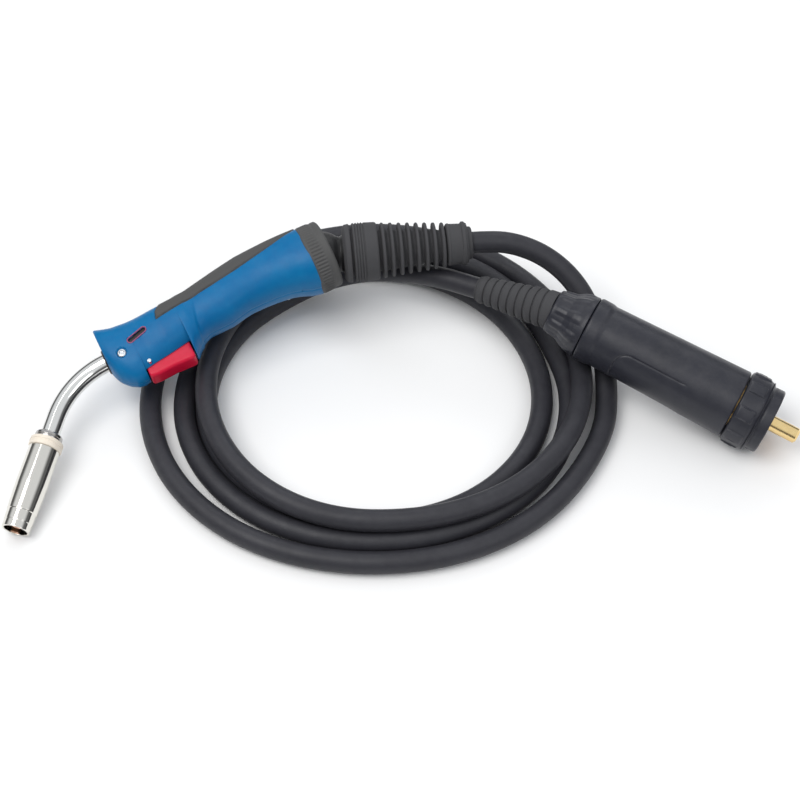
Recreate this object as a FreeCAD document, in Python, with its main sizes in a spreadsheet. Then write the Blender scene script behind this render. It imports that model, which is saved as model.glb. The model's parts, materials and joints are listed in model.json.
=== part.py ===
"""Welding torch on a coiled lead with its central connector, as separate named pieces.

Frame: +Z up, the floor at Z = 0, the origin under the middle of the torch (its lead left out).
The torch lies on its side and its ball joint is its reference point. Three working frames are used:
torch (X to the nozzle, Y to the trigger), support (X along the lead) and plug (X to the pin).
"""
import FreeCAD, Part
import math
import os

import Sketcher

os.makedirs("parts", exist_ok=True)
doc = FreeCAD.newDocument("torch")
sheet = doc.addObject("Spreadsheet::Sheet", "dims")
V = FreeCAD.Vector

# ---------------------------------------------------------------- driving dimensions (mm, degrees)
DIMENSIONS = {
    # where the torch lies
    "ball_x": 47.0, "ball_y": 78.55, "ball_z": 61.0,
    "torch_yaw": 204.8, "torch_pitch": 9.2, "torch_roll": -8.8,
    "support_yaw": 5.9, "support_pitch": -1.0,
    # swan neck and nozzle end
    "neck_radius": 6.0, "neck_wall": 1.4, "neck_start": 92.0, "neck_exit": 151.4, "neck_offset": 5.3,
    "bend_radius": 58.0, "bend_angle": 50.0, "neck_straight": 15.8,
    "conductor_radius": 4.4, "conductor_bore": 2.4, "liner_radius": 2.2, "liner_bore": 1.0,
    "collar_radius": 8.7, "collar_length": 4.0,
    "insulator_radius": 10.5, "insulator_length": 6.5, "insulator_sleeve": 8.1, "sleeve_length": 10.0,
    "nozzle_radius": 10.0, "nozzle_mouth": 9.0, "nozzle_length": 55.0, "nozzle_wall": 1.8,
    "diffuser_radius": 6.4, "diffuser_length": 18.0, "gas_hole_radius": 0.9,
    "holder_radius": 4.8, "holder_length": 9.0,
    "tip_radius": 4.0, "tip_length": 26.0, "wire_hole": 0.6,
    # handle
    "shell_wall": 3.0, "insert_depth": 2.4, "ring_front": 10.0, "ring_rear": -5.0, "ring_radius": 22.4,
    "shell_screw_radius": 1.8, "shell_screw_head": 3.2,
    "slot_length": 13.0, "slot_width": 4.4, "slot_depth": 1.6,
    # trigger and switch
    "trigger_width": 13.0, "trigger_inner": 19.5, "trigger_outer": 31.5,
    "trigger_rear": 100.4, "trigger_front": 132.0, "pivot_x": 128.5, "pivot_y": 23.0,
    "pin_radius": 1.25, "pin_play": 0.05, "trigger_gap": 0.7,
    "switch_length": 15.0, "switch_height": 4.8, "switch_width": 6.4, "plunger_radius": 1.2,
    "plunger_x": 107.0, "plunger_reach": 2.6,
    # ball joint and cable support
    "ball_radius": 15.5, "ball_play": 0.3, "seat_thick": 1.2, "stem_radius": 9.5, "lead_radius": 7.0,
    "support_start": 13.8, "band_start": 24.0, "bellows_start": 35.0, "bellows_end": 80.0,
    "support_radius": 19.2, "bellows_front": 18.2, "bellows_rear": 14.4, "fin_count": 8, "fin_height": 3.2,
    "cap_radius": 13.4, "cap_end": 94.0, "lip_radius": 10.6, "lip_end": 97.0,
    # coil of the lead
    "coil_x": 81.3, "coil_y": 3.55, "coil_length": 152.0, "coil_width": 143.0, "coil_opening": 100.0,
    "upper_x": 93.3, "upper_y": 11.55, "upper_radius": 118.0,
    # central connector
    "plug_x": 216.9, "plug_y": 29.85, "plug_z": 46.0, "plug_yaw": -26.7, "plug_pitch": 10.95,
    "body_rear": 20.0, "body_front": 22.3, "body_length": 103.0, "body_wall": 2.6, "shoulder": 20.7,
    "gland_length": 26.0, "gland_small": 11.5, "relief_thick": 12.4, "relief_thin": 8.4,
    "relief_length": 54.0, "relief_yaw": 152.7, "relief_pitch": 6.5, "relief_ribs": 8,
    "nut_radius": 24.2, "nut_rear": 103.6, "nut_front": 120.0, "nose_radius": 21.0, "nose_front": 127.0,
    "nut_bore": 17.5, "nut_lip_bore": 14.1, "plug_radius": 13.8, "flange_radius": 17.0,
    "plug_front": 121.0, "pin_main_radius": 5.0, "pin_stem_radius": 4.6, "pin_shoulder": 0.3, "pin_tip": 146.0, "pin_bore": 1.6,
    "contact_radius": 1.6, "contact_offset": 9.6, "contact_tip": 126.0, "contact_play": 0.1,
    "crimp_radius": 9.0,
}


# along, middle, half height, half width of each handle section, from the rear ring to the front face
SECTION_PARTS = ("along", "middle", "height", "width")
HANDLE_SECTIONS = {
    "seat": (10.0, 0.0, 21.6, 21.6), "heel": (27.0, -3.6, 19.0, 18.6), "small": (48.0, -4.2, 18.1, 17.2),
    "palm": (68.0, -1.0, 18.0, 16.8), "finger": (85.0, 0.8, 16.7, 16.4), "rear": (98.0, 1.6, 16.4, 16.0),
    "pocket": (115.0, 3.6, 16.6, 15.6), "bulge": (133.0, 9.0, 20.8, 15.2), "brow": (143.0, 7.2, 20.4, 14.6),
    "face": (152.6, -1.0, 15.6, 13.6),
}
for key, numbers in HANDLE_SECTIONS.items():
    for part, number in zip(SECTION_PARTS, numbers):
        DIMENSIONS[key + "_" + part] = number


class Size:
    """A number that remembers the sheet formula it came from."""

    def __init__(self, value, text):
        self.value = float(value)
        self.text = text

    def _join(self, other, sign, result, swap=False):
        text = other.text if isinstance(other, Size) else repr(float(other))
        left, right = (text, self.text) if swap else (self.text, text)
        return Size(result, "(" + left + " " + sign + " " + right + ")")

    def __float__(self):
        return self.value

    def __add__(self, other):
        return self._join(other, "+", self.value + float(other))

    def __radd__(self, other):
        return self._join(other, "+", float(other) + self.value, True)

    def __sub__(self, other):
        return self._join(other, "-", self.value - float(other))

    def __rsub__(self, other):
        return self._join(other, "-", float(other) - self.value, True)

    def __mul__(self, other):
        return self._join(other, "*", self.value * float(other))

    def __rmul__(self, other):
        return self._join(other, "*", float(other) * self.value, True)

    def __truediv__(self, other):
        return self._join(other, "/", self.value / float(other))

    def __neg__(self):
        return Size(-self.value, "(-1 * " + self.text + ")")


def fill_sheet(values):
    """Write every driving dimension to the sheet and return them as Size objects by name."""
    sizes = {}
    for row, (name, value) in enumerate(values.items(), start=1):
        sheet.set("A" + str(row), name)
        sheet.set("B" + str(row), str(value))
        sheet.setAlias("B" + str(row), name)
        sizes[name] = Size(value, "dims." + name)
    doc.recompute()
    return sizes


D = fill_sheet(DIMENSIONS)


def num(name):
    """Plain value of a driving dimension."""
    return float(D[name])


# ------------------------------------------------------------------------------- working frames
def frame(x, y, z, yaw=0.0, pitch=0.0, roll=0.0):
    """Placement with its X axis turned by yaw, then tipped down by pitch, then rolled."""
    return FreeCAD.Placement(V(float(x), float(y), float(z)),
                             FreeCAD.Rotation(float(yaw), float(pitch), float(roll)))


BALL = (D["ball_x"], D["ball_y"], D["ball_z"])
TORCH = frame(*BALL, D["torch_yaw"], D["torch_pitch"], D["torch_roll"])
SUPPORT = frame(*BALL, D["support_yaw"], D["support_pitch"])
PLUG = frame(D["plug_x"], D["plug_y"], D["plug_z"], D["plug_yaw"], D["plug_pitch"])
BEND = math.radians(num("bend_angle"))
NECK_END = V(num("neck_exit") + num("bend_radius") * math.sin(BEND) + num("neck_straight") * math.cos(BEND),
             num("neck_offset") + num("bend_radius") * (1 - math.cos(BEND))
             + num("neck_straight") * math.sin(BEND), 0)
NOZZLE = TORCH.multiply(FreeCAD.Placement(NECK_END, FreeCAD.Rotation(num("bend_angle"), 0, 0)))
# the strain relief bends down a little where it leaves the gland
RELIEF_START = PLUG.multVec(V(-num("gland_length") + 2.0, 0, 0))
RELIEF = frame(*RELIEF_START, D["relief_yaw"], D["relief_pitch"])

subparts = {}


def keep(obj, node, place=None):
    """Register a document object as the sub-part of that name, at its place."""
    obj.Label = node
    if place is not None:
        obj.Placement = place
    subparts[node] = obj
    return obj


def bind(obj, prop, size):
    """Bind a property to a sheet formula, or set a plain number."""
    if isinstance(size, Size):
        obj.setExpression(prop, size.text)
    else:
        setattr(obj, prop, float(size))


# ----------------------------------------------------------------------------- shape helpers
def origin_plane(body, role):
    """The body's own origin plane of that role."""
    for feature in body.Origin.OriginFeatures:
        if feature.Role == role:
            return feature
    raise RuntimeError("no plane " + role)


def outline_sketch(body, name, points, role="XY_Plane"):
    """A closed sketch of straight lines, each corner held by two bound distances."""
    sketch = body.newObject("Sketcher::SketchObject", name)
    sketch.AttachmentSupport = [(origin_plane(body, role), "")]
    sketch.MapMode = "FlatFace"
    count = len(points)
    corners = [V(float(x), float(y), 0) for x, y in points]
    for index in range(count):
        sketch.addGeometry(Part.LineSegment(corners[index], corners[(index + 1) % count]), False)
    for index in range(count):
        sketch.addConstraint(Sketcher.Constraint("Coincident", index, 2, (index + 1) % count, 1))
    for index, corner in enumerate(points):
        for value, kind, axis in ((corner[0], "DistanceX", -2), (corner[1], "DistanceY", -1)):
            if abs(float(value)) < 1e-9:
                sketch.addConstraint(Sketcher.Constraint("PointOnObject", index, 1, axis))
                continue
            ends = (-1, 1, index, 1) if float(value) > 0 else (index, 1, -1, 1)
            number = sketch.addConstraint(Sketcher.Constraint(kind, *ends, abs(float(value))))
            if isinstance(value, Size):
                text = value.text if float(value) > 0 else (-value).text
                sketch.setExpression("Constraints[" + str(number) + "]", text)
    return sketch


def turned(node, points, place):
    """A turned piece: the outline of (along, radius) corners revolved about the X axis."""
    body = doc.addObject("PartDesign::Body", node)
    sketch = outline_sketch(body, node + "_outline", points)
    turn = body.newObject("PartDesign::Revolution", node + "_turn")
    turn.Profile = sketch
    turn.ReferenceAxis = (sketch, ["H_Axis"])
    turn.Angle = 360
    return keep(body, node, place)


def padded(node, points, thickness, place):
    """A plate of that outline, its thickness shared each side of the XY plane."""
    body = doc.addObject("PartDesign::Body", node)
    sketch = outline_sketch(body, node + "_outline", points)
    pad = body.newObject("PartDesign::Pad", node + "_pad")
    pad.Profile = sketch
    pad.SideType = "Symmetric"
    bind(pad, "Length", thickness)
    return keep(body, node, place)


def rod(name, radius, length, base, axis=V(0, 0, 1)):
    """A document cylinder from base along axis."""
    obj = doc.addObject("Part::Cylinder", name)
    bind(obj, "Radius", radius)
    bind(obj, "Height", length)
    obj.Placement = FreeCAD.Placement(base, FreeCAD.Rotation(V(0, 0, 1), axis))
    return obj


def block(name, low, high):
    """A document box between two corners."""
    obj = doc.addObject("Part::Box", name)
    obj.Length, obj.Width, obj.Height = [float(b) - float(a) for a, b in zip(low, high)]
    obj.Placement.Base = V(*[float(a) for a in low])
    return obj


def cut(name, base, tool):
    """A document cut of one object from another."""
    obj = doc.addObject("Part::Cut", name)
    obj.Base = base
    obj.Tool = tool
    return obj


def common(name, base, tool):
    """A document object of what two objects share."""
    obj = doc.addObject("Part::Common", name)
    obj.Base = base
    obj.Tool = tool
    return obj


def joined(name, shapes):
    """A document fusion of several objects."""
    obj = doc.addObject("Part::MultiFuse", name)
    obj.Shapes = shapes
    return obj


def group(name, shapes):
    """A document compound of separate solids that share one node."""
    obj = doc.addObject("Part::Compound", name)
    obj.Links = shapes
    return obj


def cord_wire(points):
    """Straight runs joined by tangent arcs, each as large as its two runs allow."""
    edges = []
    last = points[0]
    radii = []
    for before, corner, after in zip(points, points[1:], points[2:]):
        back = (before - corner)
        on = (after - corner)
        room = 0.45 * min(back.Length, on.Length)
        back.normalize()
        on.normalize()
        turn = math.pi - back.getAngle(on)
        radii.append(room / math.tan(turn / 2))
        start = corner + back * room
        end = corner + on * room
        inward = back + on
        inward.normalize()
        middle = corner + inward * (radii[-1] * (1 / math.cos(turn / 2) - 1))
        edges.append(Part.LineSegment(last, start).toShape())
        edges.append(Part.Arc(start, middle, end).toShape())
        last = end
    edges.append(Part.LineSegment(last, points[-1]).toShape())
    return Part.Wire(edges), radii


def swept(wire, radius):
    """A round solid of that radius along a smooth wire."""
    edge = wire.Edges[0]
    start = edge.valueAt(edge.FirstParameter)
    heading = edge.tangentAt(edge.FirstParameter)
    ring = Part.Wire([Part.makeCircle(radius, start, heading)])
    return wire.makePipeShell([ring], True, False)


def cord_tube(node, points, radius):
    """A plain tube of the lead along hand-set route points, with its radii and volume printed."""
    wire, radii = cord_wire(points)
    shape = swept(wire, radius)
    obj = doc.addObject("Part::Feature", node)
    obj.Shape = shape
    ideal = math.pi * radius ** 2 * wire.Length
    print(node, "length", round(wire.Length, 1), "arc radii", [round(r) for r in radii],
          "volume ratio", round(shape.Volume / ideal, 4))
    return keep(obj, node)


def neck_path(first, last):
    """Centre line of the swan neck from its start in the handle to a point past its end."""
    exit_point = V(num("neck_exit"), num("neck_offset"), 0)
    radius = num("bend_radius")
    middle = exit_point + V(radius * math.sin(BEND / 2), radius * (1 - math.cos(BEND / 2)), 0)
    bend_end = exit_point + V(radius * math.sin(BEND), radius * (1 - math.cos(BEND)), 0)
    end = NECK_END + V(math.cos(BEND), math.sin(BEND), 0) * last
    return Part.Wire([Part.LineSegment(V(first, num("neck_offset"), 0), exit_point).toShape(),
                      Part.Arc(exit_point, middle, bend_end).toShape(),
                      Part.LineSegment(bend_end, end).toShape()])


def neck_tube(node, first, last, outer, inner):
    """A bent tube that follows the swan neck."""
    wire = neck_path(first, last)
    shape = swept(wire, float(outer)).cut(swept(wire, float(inner)))
    obj = doc.addObject("Part::Feature", node)
    obj.Shape = shape
    return keep(obj, node, TORCH)


# ------------------------------------------------------------------------------ nozzle end
def build_neck():
    """Swan neck, its conductor and wire liner, and the pieces screwed and pushed on its end."""
    neck_tube("swan_neck", num("neck_start"), 6.0, D["neck_radius"], D["neck_radius"] - D["neck_wall"])
    neck_tube("neck_conductor", num("neck_start"), 6.0, D["conductor_radius"], D["conductor_bore"])
    neck_tube("wire_liner", num("neck_start"), 6.0, D["liner_radius"], D["liner_bore"])
    ring = D["neck_radius"] + 0.02
    turned("neck_collar", [(-D["collar_length"], ring), (-D["collar_length"], D["collar_radius"] - 0.8),
                           (-D["collar_length"] + 0.8, D["collar_radius"]), (0, D["collar_radius"]),
                           (0, ring)], NOZZLE)
    step = D["insulator_length"]
    turned("nozzle_insulator", [(0, ring), (0, D["insulator_radius"] - 0.6), (0.6, D["insulator_radius"]),
                                (step - 0.4, D["insulator_radius"]), (step, D["insulator_radius"] - 0.4),
                                (step, D["insulator_sleeve"]), (step + D["sleeve_length"], D["insulator_sleeve"]),
                                (step + D["sleeve_length"], D["diffuser_radius"] + 0.1),
                                (6.1, D["diffuser_radius"] + 0.1), (6.1, ring)], NOZZLE)
    end = 6.0 + D["diffuser_length"]
    blank = turned("diffuser_blank", [(6.1, 1.8), (6.1, D["diffuser_radius"]), (end - 2, D["diffuser_radius"]),
                                      (end, D["diffuser_radius"] - 1.5), (end, 1.8)], FreeCAD.Placement())
    subparts.pop("diffuser_blank")
    holes = [rod("gas_hole_" + str(turn), D["gas_hole_radius"], 9.0, V(num("diffuser_length") + 1.5, 0, 0),
                 V(0, math.cos(turn * math.pi / 3), math.sin(turn * math.pi / 3))) for turn in range(6)]
    bores = group("gas_holes", holes)
    keep(cut("gas_diffuser", blank, bores), "gas_diffuser", NOZZLE)
    holder = end + D["holder_length"]
    turned("tip_holder", [(end, 1.8), (end, D["holder_radius"]), (holder - 1, D["holder_radius"]),
                          (holder, D["holder_radius"] - 1), (holder, 1.8)], NOZZLE)
    tip = holder + D["tip_length"]
    turned("contact_tip", [(holder, D["wire_hole"]), (holder, D["tip_radius"]), (tip - 9, D["tip_radius"]),
                           (tip - 7, D["tip_radius"] - 0.9), (tip, D["tip_radius"] - 1.2),
                           (tip, D["wire_hole"])], NOZZLE)
    mouth = step + D["nozzle_length"]
    bore = D["insulator_sleeve"] + 0.05
    turned("gas_nozzle", [(step, bore), (step, D["nozzle_radius"]), (step + 24, D["nozzle_radius"]),
                          (mouth - 4, D["nozzle_mouth"] + 0.1), (mouth, D["nozzle_mouth"]),
                          (mouth, D["nozzle_mouth"] - D["nozzle_wall"]),
                          (mouth - 4, D["nozzle_mouth"] - D["nozzle_wall"]), (step + 26, bore)], NOZZLE)


# ------------------------------------------------------------------------------ handle
def section(key, inset, first, last):
    """Along, middle, height and width of one handle section, drawn in by inset."""
    along, middle, height, width = [D[key + "_" + part] for part in SECTION_PARTS]
    if key == "seat" and first is not None:
        along = first
    if key == "face" and last is not None:
        along = last
    return along, middle, height - inset, width - inset


ACROSS = FreeCAD.Rotation(V(0, 1, 0), V(0, 0, 1), V(1, 0, 0), "ZXY")


def handle_loft(name, inset, first=None, last=None):
    """The handle's outer form drawn in by inset, as a loft through its sections."""
    sections = []
    for key in HANDLE_SECTIONS:
        along, middle, height, width = section(key, inset, first, last)
        oval = doc.addObject("Part::Ellipse", name + "_" + key)
        bind(oval, "MajorRadius", height)
        bind(oval, "MinorRadius", width)
        oval.Placement = FreeCAD.Placement(V(float(along), float(middle), 0), ACROSS)
        sections.append(oval)
    loft = doc.addObject("Part::Loft", name)
    loft.Sections = sections
    loft.Solid = True
    loft.Ruled = False
    return loft


def half_loft(name, inset, side, first=None, leave_out=()):
    """One half of the handle's form, above (side 1) or below (side -1) the split plane."""
    wires = []
    for key in HANDLE_SECTIONS:
        if key in leave_out:
            continue
        along, middle, height, width = [float(v) for v in section(key, inset, first, None)]
        oval = Part.Ellipse(V(0, 0, 0), height, width)
        start = 0.0 if side > 0 else math.pi
        arc = Part.ArcOfEllipse(oval, start, start + math.pi).toShape()
        chord = Part.LineSegment(arc.valueAt(arc.LastParameter), arc.valueAt(arc.FirstParameter)).toShape()
        wire = Part.Wire([arc, chord])
        wire.Placement = FreeCAD.Placement(V(along, middle, 0), ACROSS)
        wires.append(wire)
    obj = doc.addObject("Part::Feature", name)
    obj.Shape = Part.makeLoft(wires, True, False)
    return obj


def plain_prism(name, points, half):
    """An upright prism of an XY outline, from -half to +half."""
    corners = [V(float(x), float(y), -half) for x, y in points]
    face = Part.Face(Part.makePolygon(corners + corners[:1]))
    obj = doc.addObject("Part::Feature", name)
    obj.Shape = face.extrude(V(0, 0, 2 * half))
    return obj


def stadium(name, centre, angle, length, width, low, high):
    """A slot-shaped solid lying along an angle in the XY plane."""
    half = (length - width) / 2
    heading = V(math.cos(angle), math.sin(angle), 0)
    side = V(-heading.y, heading.x, 0)
    a, b = centre - heading * half, centre + heading * half
    r = width / 2
    wire = Part.Wire([Part.LineSegment(a + side * r, b + side * r).toShape(),
                      Part.Arc(b + side * r, b + heading * r, b - side * r).toShape(),
                      Part.LineSegment(b - side * r, a - side * r).toShape(),
                      Part.Arc(a - side * r, a - heading * r, a + side * r).toShape()])
    face = Part.Face(wire)
    face.translate(V(0, 0, low))
    obj = doc.addObject("Part::Feature", name)
    obj.Shape = face.extrude(V(0, 0, high - low))
    return obj


SHELL_SCREWS = ((30.0, 8.5), (141.8, 17.5))
SLOT_CENTRE = V(129.0, 4.6, 0)
SLOT_ANGLE = math.radians(16.5)


def build_handle():
    """Two hollow shells, the rubber insert let into their back, the screws and the side inlay."""
    outer = handle_loft("handle_form", 0.0)
    skin = handle_loft("handle_skin", num("insert_depth"), first=9.5, last=152.0)
    band = plain_prism("insert_outline", [(16, -40), (16, -19), (32, -12.5), (57, -8), (82, -4.5), (113, 0.5),
                                          (107.5, -12), (106, -40)], 30)
    raw_insert = cut("insert_layer", common("insert_zone", outer, band), skin)
    keep(raw_insert, "grip_insert", TORCH)
    groove = cut("insert_groove", band, skin)
    width = num("trigger_width") / 2 + num("trigger_gap")
    well = block("trigger_well", (num("trigger_rear") - num("trigger_gap"), 9.0, -width),
                 (num("trigger_front") + num("trigger_gap"), 45.0, width))
    neck_hole = rod("neck_hole", D["neck_radius"] + 0.02, 20.0, V(140, num("neck_offset"), 0), V(1, 0, 0))
    slot = stadium("slot_pocket", SLOT_CENTRE, SLOT_ANGLE, num("slot_length"), num("slot_width"), 12.6, 25.0)
    pin_hole = rod("pin_hole", D["pin_radius"], 24.0, V(num("pivot_x"), num("pivot_y"), -12))
    tools = [groove, well, neck_hole, slot, pin_hole]
    for number, (x, y) in enumerate(SHELL_SCREWS):
        tools.append(rod("screw_hole_" + str(number), D["shell_screw_radius"], 26.0, V(x, y, -13)))
        tools.append(rod("head_hole_" + str(number), D["shell_screw_head"], 20.0, V(x, y, 12.0)))
    cutters = joined("handle_tools", tools)
    for node, side in (("handle_shell_upper", 1), ("handle_shell_lower", -1)):
        form = half_loft(node + "_form", 0.0, side)
        cavity = half_loft(node + "_cavity", num("shell_wall"), side, first=9.0, leave_out=("face",))
        keep(cut(node, cut(node + "_hollow", form, cavity), cutters), node, TORCH)
    screws = []
    for number, (x, y) in enumerate(SHELL_SCREWS):
        shank = rod("screw_shank_" + str(number), D["shell_screw_radius"], 24.0, V(x, y, -12))
        head = rod("screw_head_" + str(number), D["shell_screw_head"] - 0.1, 1.8, V(x, y, 12.0))
        screws.append(joined("shell_screw_" + str(number), [shank, head]))
    keep(group("shell_screws", screws), "shell_screws", TORCH)
    inlay = stadium("side_inlay", SLOT_CENTRE, SLOT_ANGLE, num("slot_length") - 0.1, num("slot_width") - 0.1,
                    12.6, 12.6 + num("slot_depth"))
    keep(inlay, "side_inlay", TORCH)
    offset = FreeCAD.Placement(V(0, num("neck_offset"), 0), FreeCAD.Rotation())
    turned("neck_block", [(74, 2.3), (74, 7.5), (91.8, 7.5), (91.8, 2.3)], TORCH.multiply(offset))
    cord_start = V(17.0, 0, 0)
    wire, _ = cord_wire([cord_start, V(36, 0, 0), V(56, num("neck_offset"), 0), V(73.9, num("neck_offset"), 0)])
    lead = doc.addObject("Part::Feature", "handle_lead")
    lead.Shape = swept(wire, 5.5)
    keep(lead, "handle_lead", TORCH)


def build_trigger():
    """Red trigger on its pin, with a torsion spring, and the switch it presses."""
    gap = D["trigger_gap"]
    rear, front = D["trigger_rear"], D["trigger_front"]
    inner, outer = D["trigger_inner"], D["trigger_outer"]
    blank = padded("trigger_blank", [(rear, inner), (rear, outer - 2), (rear + 2, outer), (front - 3, outer),
                                     (front, outer - 3), (front, inner)], D["trigger_width"],
                   FreeCAD.Placement())
    subparts.pop("trigger_blank")
    pivot = V(num("pivot_x"), num("pivot_y"), 0)
    hole = rod("trigger_hole", D["pin_radius"] + D["pin_play"], 20.0, pivot + V(0, 0, -10))
    notch = rod("spring_notch", 3.5, 4.4, pivot + V(0, 0, -2.2))
    mouth = block("notch_mouth", (pivot.x - 3.5, num("trigger_inner") - 2, -2.2), (pivot.x + 3.5, pivot.y, 2.2))
    keep(cut("trigger", blank, joined("trigger_cuts", [hole, notch, mouth])), "trigger", TORCH)
    keep(rod("trigger_pin", D["pin_radius"], 22.0, V(0, 0, 0)), "trigger_pin",
         TORCH.multiply(FreeCAD.Placement(pivot + V(0, 0, -11), FreeCAD.Rotation())))
    coils = []
    for turn in range(3):
        ring = doc.addObject("Part::Torus", "spring_turn_" + str(turn))
        bind(ring, "Radius1", D["pin_radius"] + 0.65)
        ring.Radius2 = 0.45
        ring.Placement.Base = pivot + V(0, 0, (turn - 1) * 1.1)
        coils.append(ring)
    keep(group("trigger_spring", coils), "trigger_spring", TORCH)
    face = D["trigger_inner"] - 0.3 - D["plunger_reach"]
    x = num("plunger_x")
    base = float(face) - num("switch_height")
    half = num("switch_width") / 2
    length = num("switch_length")
    switch = block("switch_box", (x - 5, base, -half), (x - 5 + length, float(face), half))
    guide = rod("plunger_guide", D["plunger_radius"] + D["pin_play"], 4.0, V(x, float(face) - 3.5, 0), V(0, 1, 0))
    keep(cut("trigger_switch", switch, guide), "trigger_switch", TORCH)
    keep(rod("switch_plunger", D["plunger_radius"], D["plunger_reach"] + 1.0, V(0, 0, 0)), "switch_plunger",
         TORCH.multiply(FreeCAD.Placement(V(x, float(face) - 1.0, 0), FreeCAD.Rotation(V(0, 0, 1), V(0, 1, 0)))))


# ------------------------------------------------------------------------------ ball and support
def sphere_zone(name, radius, low, high):
    """The part of a ball at the origin between two planes across the X axis."""
    ball = doc.addObject("Part::Sphere", name + "_ball")
    bind(ball, "Radius", radius)
    span = block(name + "_span", (low, -40, -40), (high, 40, 40))
    return common(name, ball, span)


def build_joint():
    """Ball on the support, the slip ring around it, and the ribbed ring that holds both to the handle."""
    ball = sphere_zone("ball_form", D["ball_radius"], -20, 14)
    stem = rod("ball_stem", D["stem_radius"], 15.0, V(8, 0, 0), V(1, 0, 0))
    bore = rod("ball_bore", D["lead_radius"] + 0.3, 60.0, V(-30, 0, 0), V(1, 0, 0))
    keep(cut("joint_ball", joined("ball_and_stem", [ball, stem]), bore), "joint_ball", SUPPORT)
    seat_outer = D["ball_radius"] + D["ball_play"] + D["seat_thick"]
    seat = sphere_zone("seat_form", seat_outer, -4.5, 8.0)
    hollow = doc.addObject("Part::Sphere", "seat_hollow")
    bind(hollow, "Radius", D["ball_radius"] + D["ball_play"])
    keep(cut("joint_seat", seat, hollow), "joint_seat", TORCH)
    width = D["ring_front"] - D["ring_rear"]
    ring = rod("ring_blank", D["ring_radius"], width, V(num("ring_rear"), 0, 0), V(1, 0, 0))
    socket = doc.addObject("Part::Sphere", "ring_socket")
    bind(socket, "Radius", seat_outer + D["ball_play"])
    notches = []
    for index in range(24):
        angle = math.radians(15 * index)
        out = V(0, math.cos(angle), math.sin(angle))
        notches.append(rod("ring_notch_" + str(index), 1.1, 9.0,
                           V(num("ring_rear") + 3, 0, 0) + out * (num("ring_radius") + 0.5), V(1, 0, 0)))
    keep(cut("rear_ring", ring, group("ring_cuts", [socket] + notches)), "rear_ring", TORCH)


def build_support():
    """Cable support: ribbed collar, finned bellows, end cap, and the lead inside them."""
    rim = D["support_radius"]
    start, band = D["support_start"], D["band_start"]
    outline = [(start, D["stem_radius"] + 0.02), (start, rim - 3.4), (start + 2.2, rim - 0.6)]
    for ridge in range(3):
        at = start + 2.6 + 2.4 * ridge
        outline += [(at, rim - 0.6), (at + 0.3, rim), (at + 1.3, rim), (at + 1.6, rim - 0.6)]
    end = D["bellows_start"]
    outline += [(band, rim - 0.5), (end, rim - 0.6), (end, 9.0), (start + 9.2, 9.0),
                (start + 9.2, D["stem_radius"] + 0.02)]
    turned("support_collar", outline, SUPPORT)
    count = int(num("fin_count"))
    pitch = (D["bellows_end"] - D["bellows_start"]) / count
    outline = [(D["bellows_start"], D["lead_radius"] + 0.1)]
    for fin in range(count):
        at = D["bellows_start"] + pitch * fin
        top = D["bellows_front"] + (D["bellows_rear"] - D["bellows_front"]) * ((fin + 1) / count)
        outline += [(at + 0.01, top - D["fin_height"]), (at + pitch * 0.42, top - D["fin_height"]),
                    (at + pitch * 0.5, top), (at + pitch * 0.86, top)]
    outline += [(D["bellows_end"], D["bellows_rear"] - D["fin_height"]), (D["bellows_end"], D["lead_radius"] + 0.1)]
    turned("bellows", outline, SUPPORT)
    inner = D["lead_radius"] + 0.1
    turned("support_cap", [(D["bellows_end"], inner), (D["bellows_end"], D["cap_radius"]),
                           (D["cap_end"] - 3, D["cap_radius"] - 0.6), (D["cap_end"] - 2, D["cap_radius"] + 0.3),
                           (D["cap_end"], D["cap_radius"] - 0.2), (D["cap_end"], D["lip_radius"]),
                           (D["lip_end"], D["lip_radius"] - 0.8), (D["lip_end"], inner)], SUPPORT)
    keep(rod("support_lead", D["lead_radius"], D["lip_end"] - 15.0, V(0, 0, 0)), "support_lead",
         SUPPORT.multiply(FreeCAD.Placement(V(15, 0, 0), FreeCAD.Rotation(V(0, 0, 1), V(1, 0, 0)))))


# ------------------------------------------------------------------------------ the lead
COIL = V(num("coil_x"), num("coil_y"), 0)
LEAD_IN = [V(88, 87, 61), V(111, 82, 53.5), V(130, 69.5, 42), V(142, 51, 28), V(148, 27.5, 15.5),
           V(148.5, 2, 10), V(145.5, -24, 7.5)]
LEAD_OUT = [V(43, 74, 41.5), V(18, 85, 35), V(-8, 93.5, 26.5), V(-34, 96, 17), V(-59, 90, 10)]


def build_lead():
    """The lead as it lies: out of the support, four loose turns, and in to the connector."""
    exit_point = SUPPORT.multVec(V(num("lip_end"), 0, 0))
    cord_tube("lead_in", [exit_point] + [COIL + point for point in LEAD_IN], num("lead_radius"))
    thin_end = RELIEF.multVec(V(num("relief_length"), 0, 0))
    cord_tube("lead_out", [thin_end] + [COIL + point for point in LEAD_OUT], num("lead_radius"))
    depth = 2 * num("lead_radius")
    oval = Part.Ellipse(V(0, 9, 0), num("coil_length"), num("coil_width"))
    base = Part.Face(Part.Wire([oval.toShape()])).extrude(V(0, 0, depth))
    base.translate(COIL)
    opening = Part.makeCylinder(num("coil_opening"), depth, COIL + V(0, 9, 0))
    top_centre = V(num("upper_x"), num("upper_y"), depth)
    top = Part.makeCylinder(num("upper_radius") + num("lead_radius"), depth - 3.5, top_centre)
    top_hole = Part.makeCylinder(num("upper_radius") - num("lead_radius"), depth - 3.5, top_centre)
    coil = doc.addObject("Part::Feature", "lead_coil")
    coil.Shape = base.cut(opening).fuse(top.cut(top_hole)).removeSplitter()
    keep(coil, "lead_coil")


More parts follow.
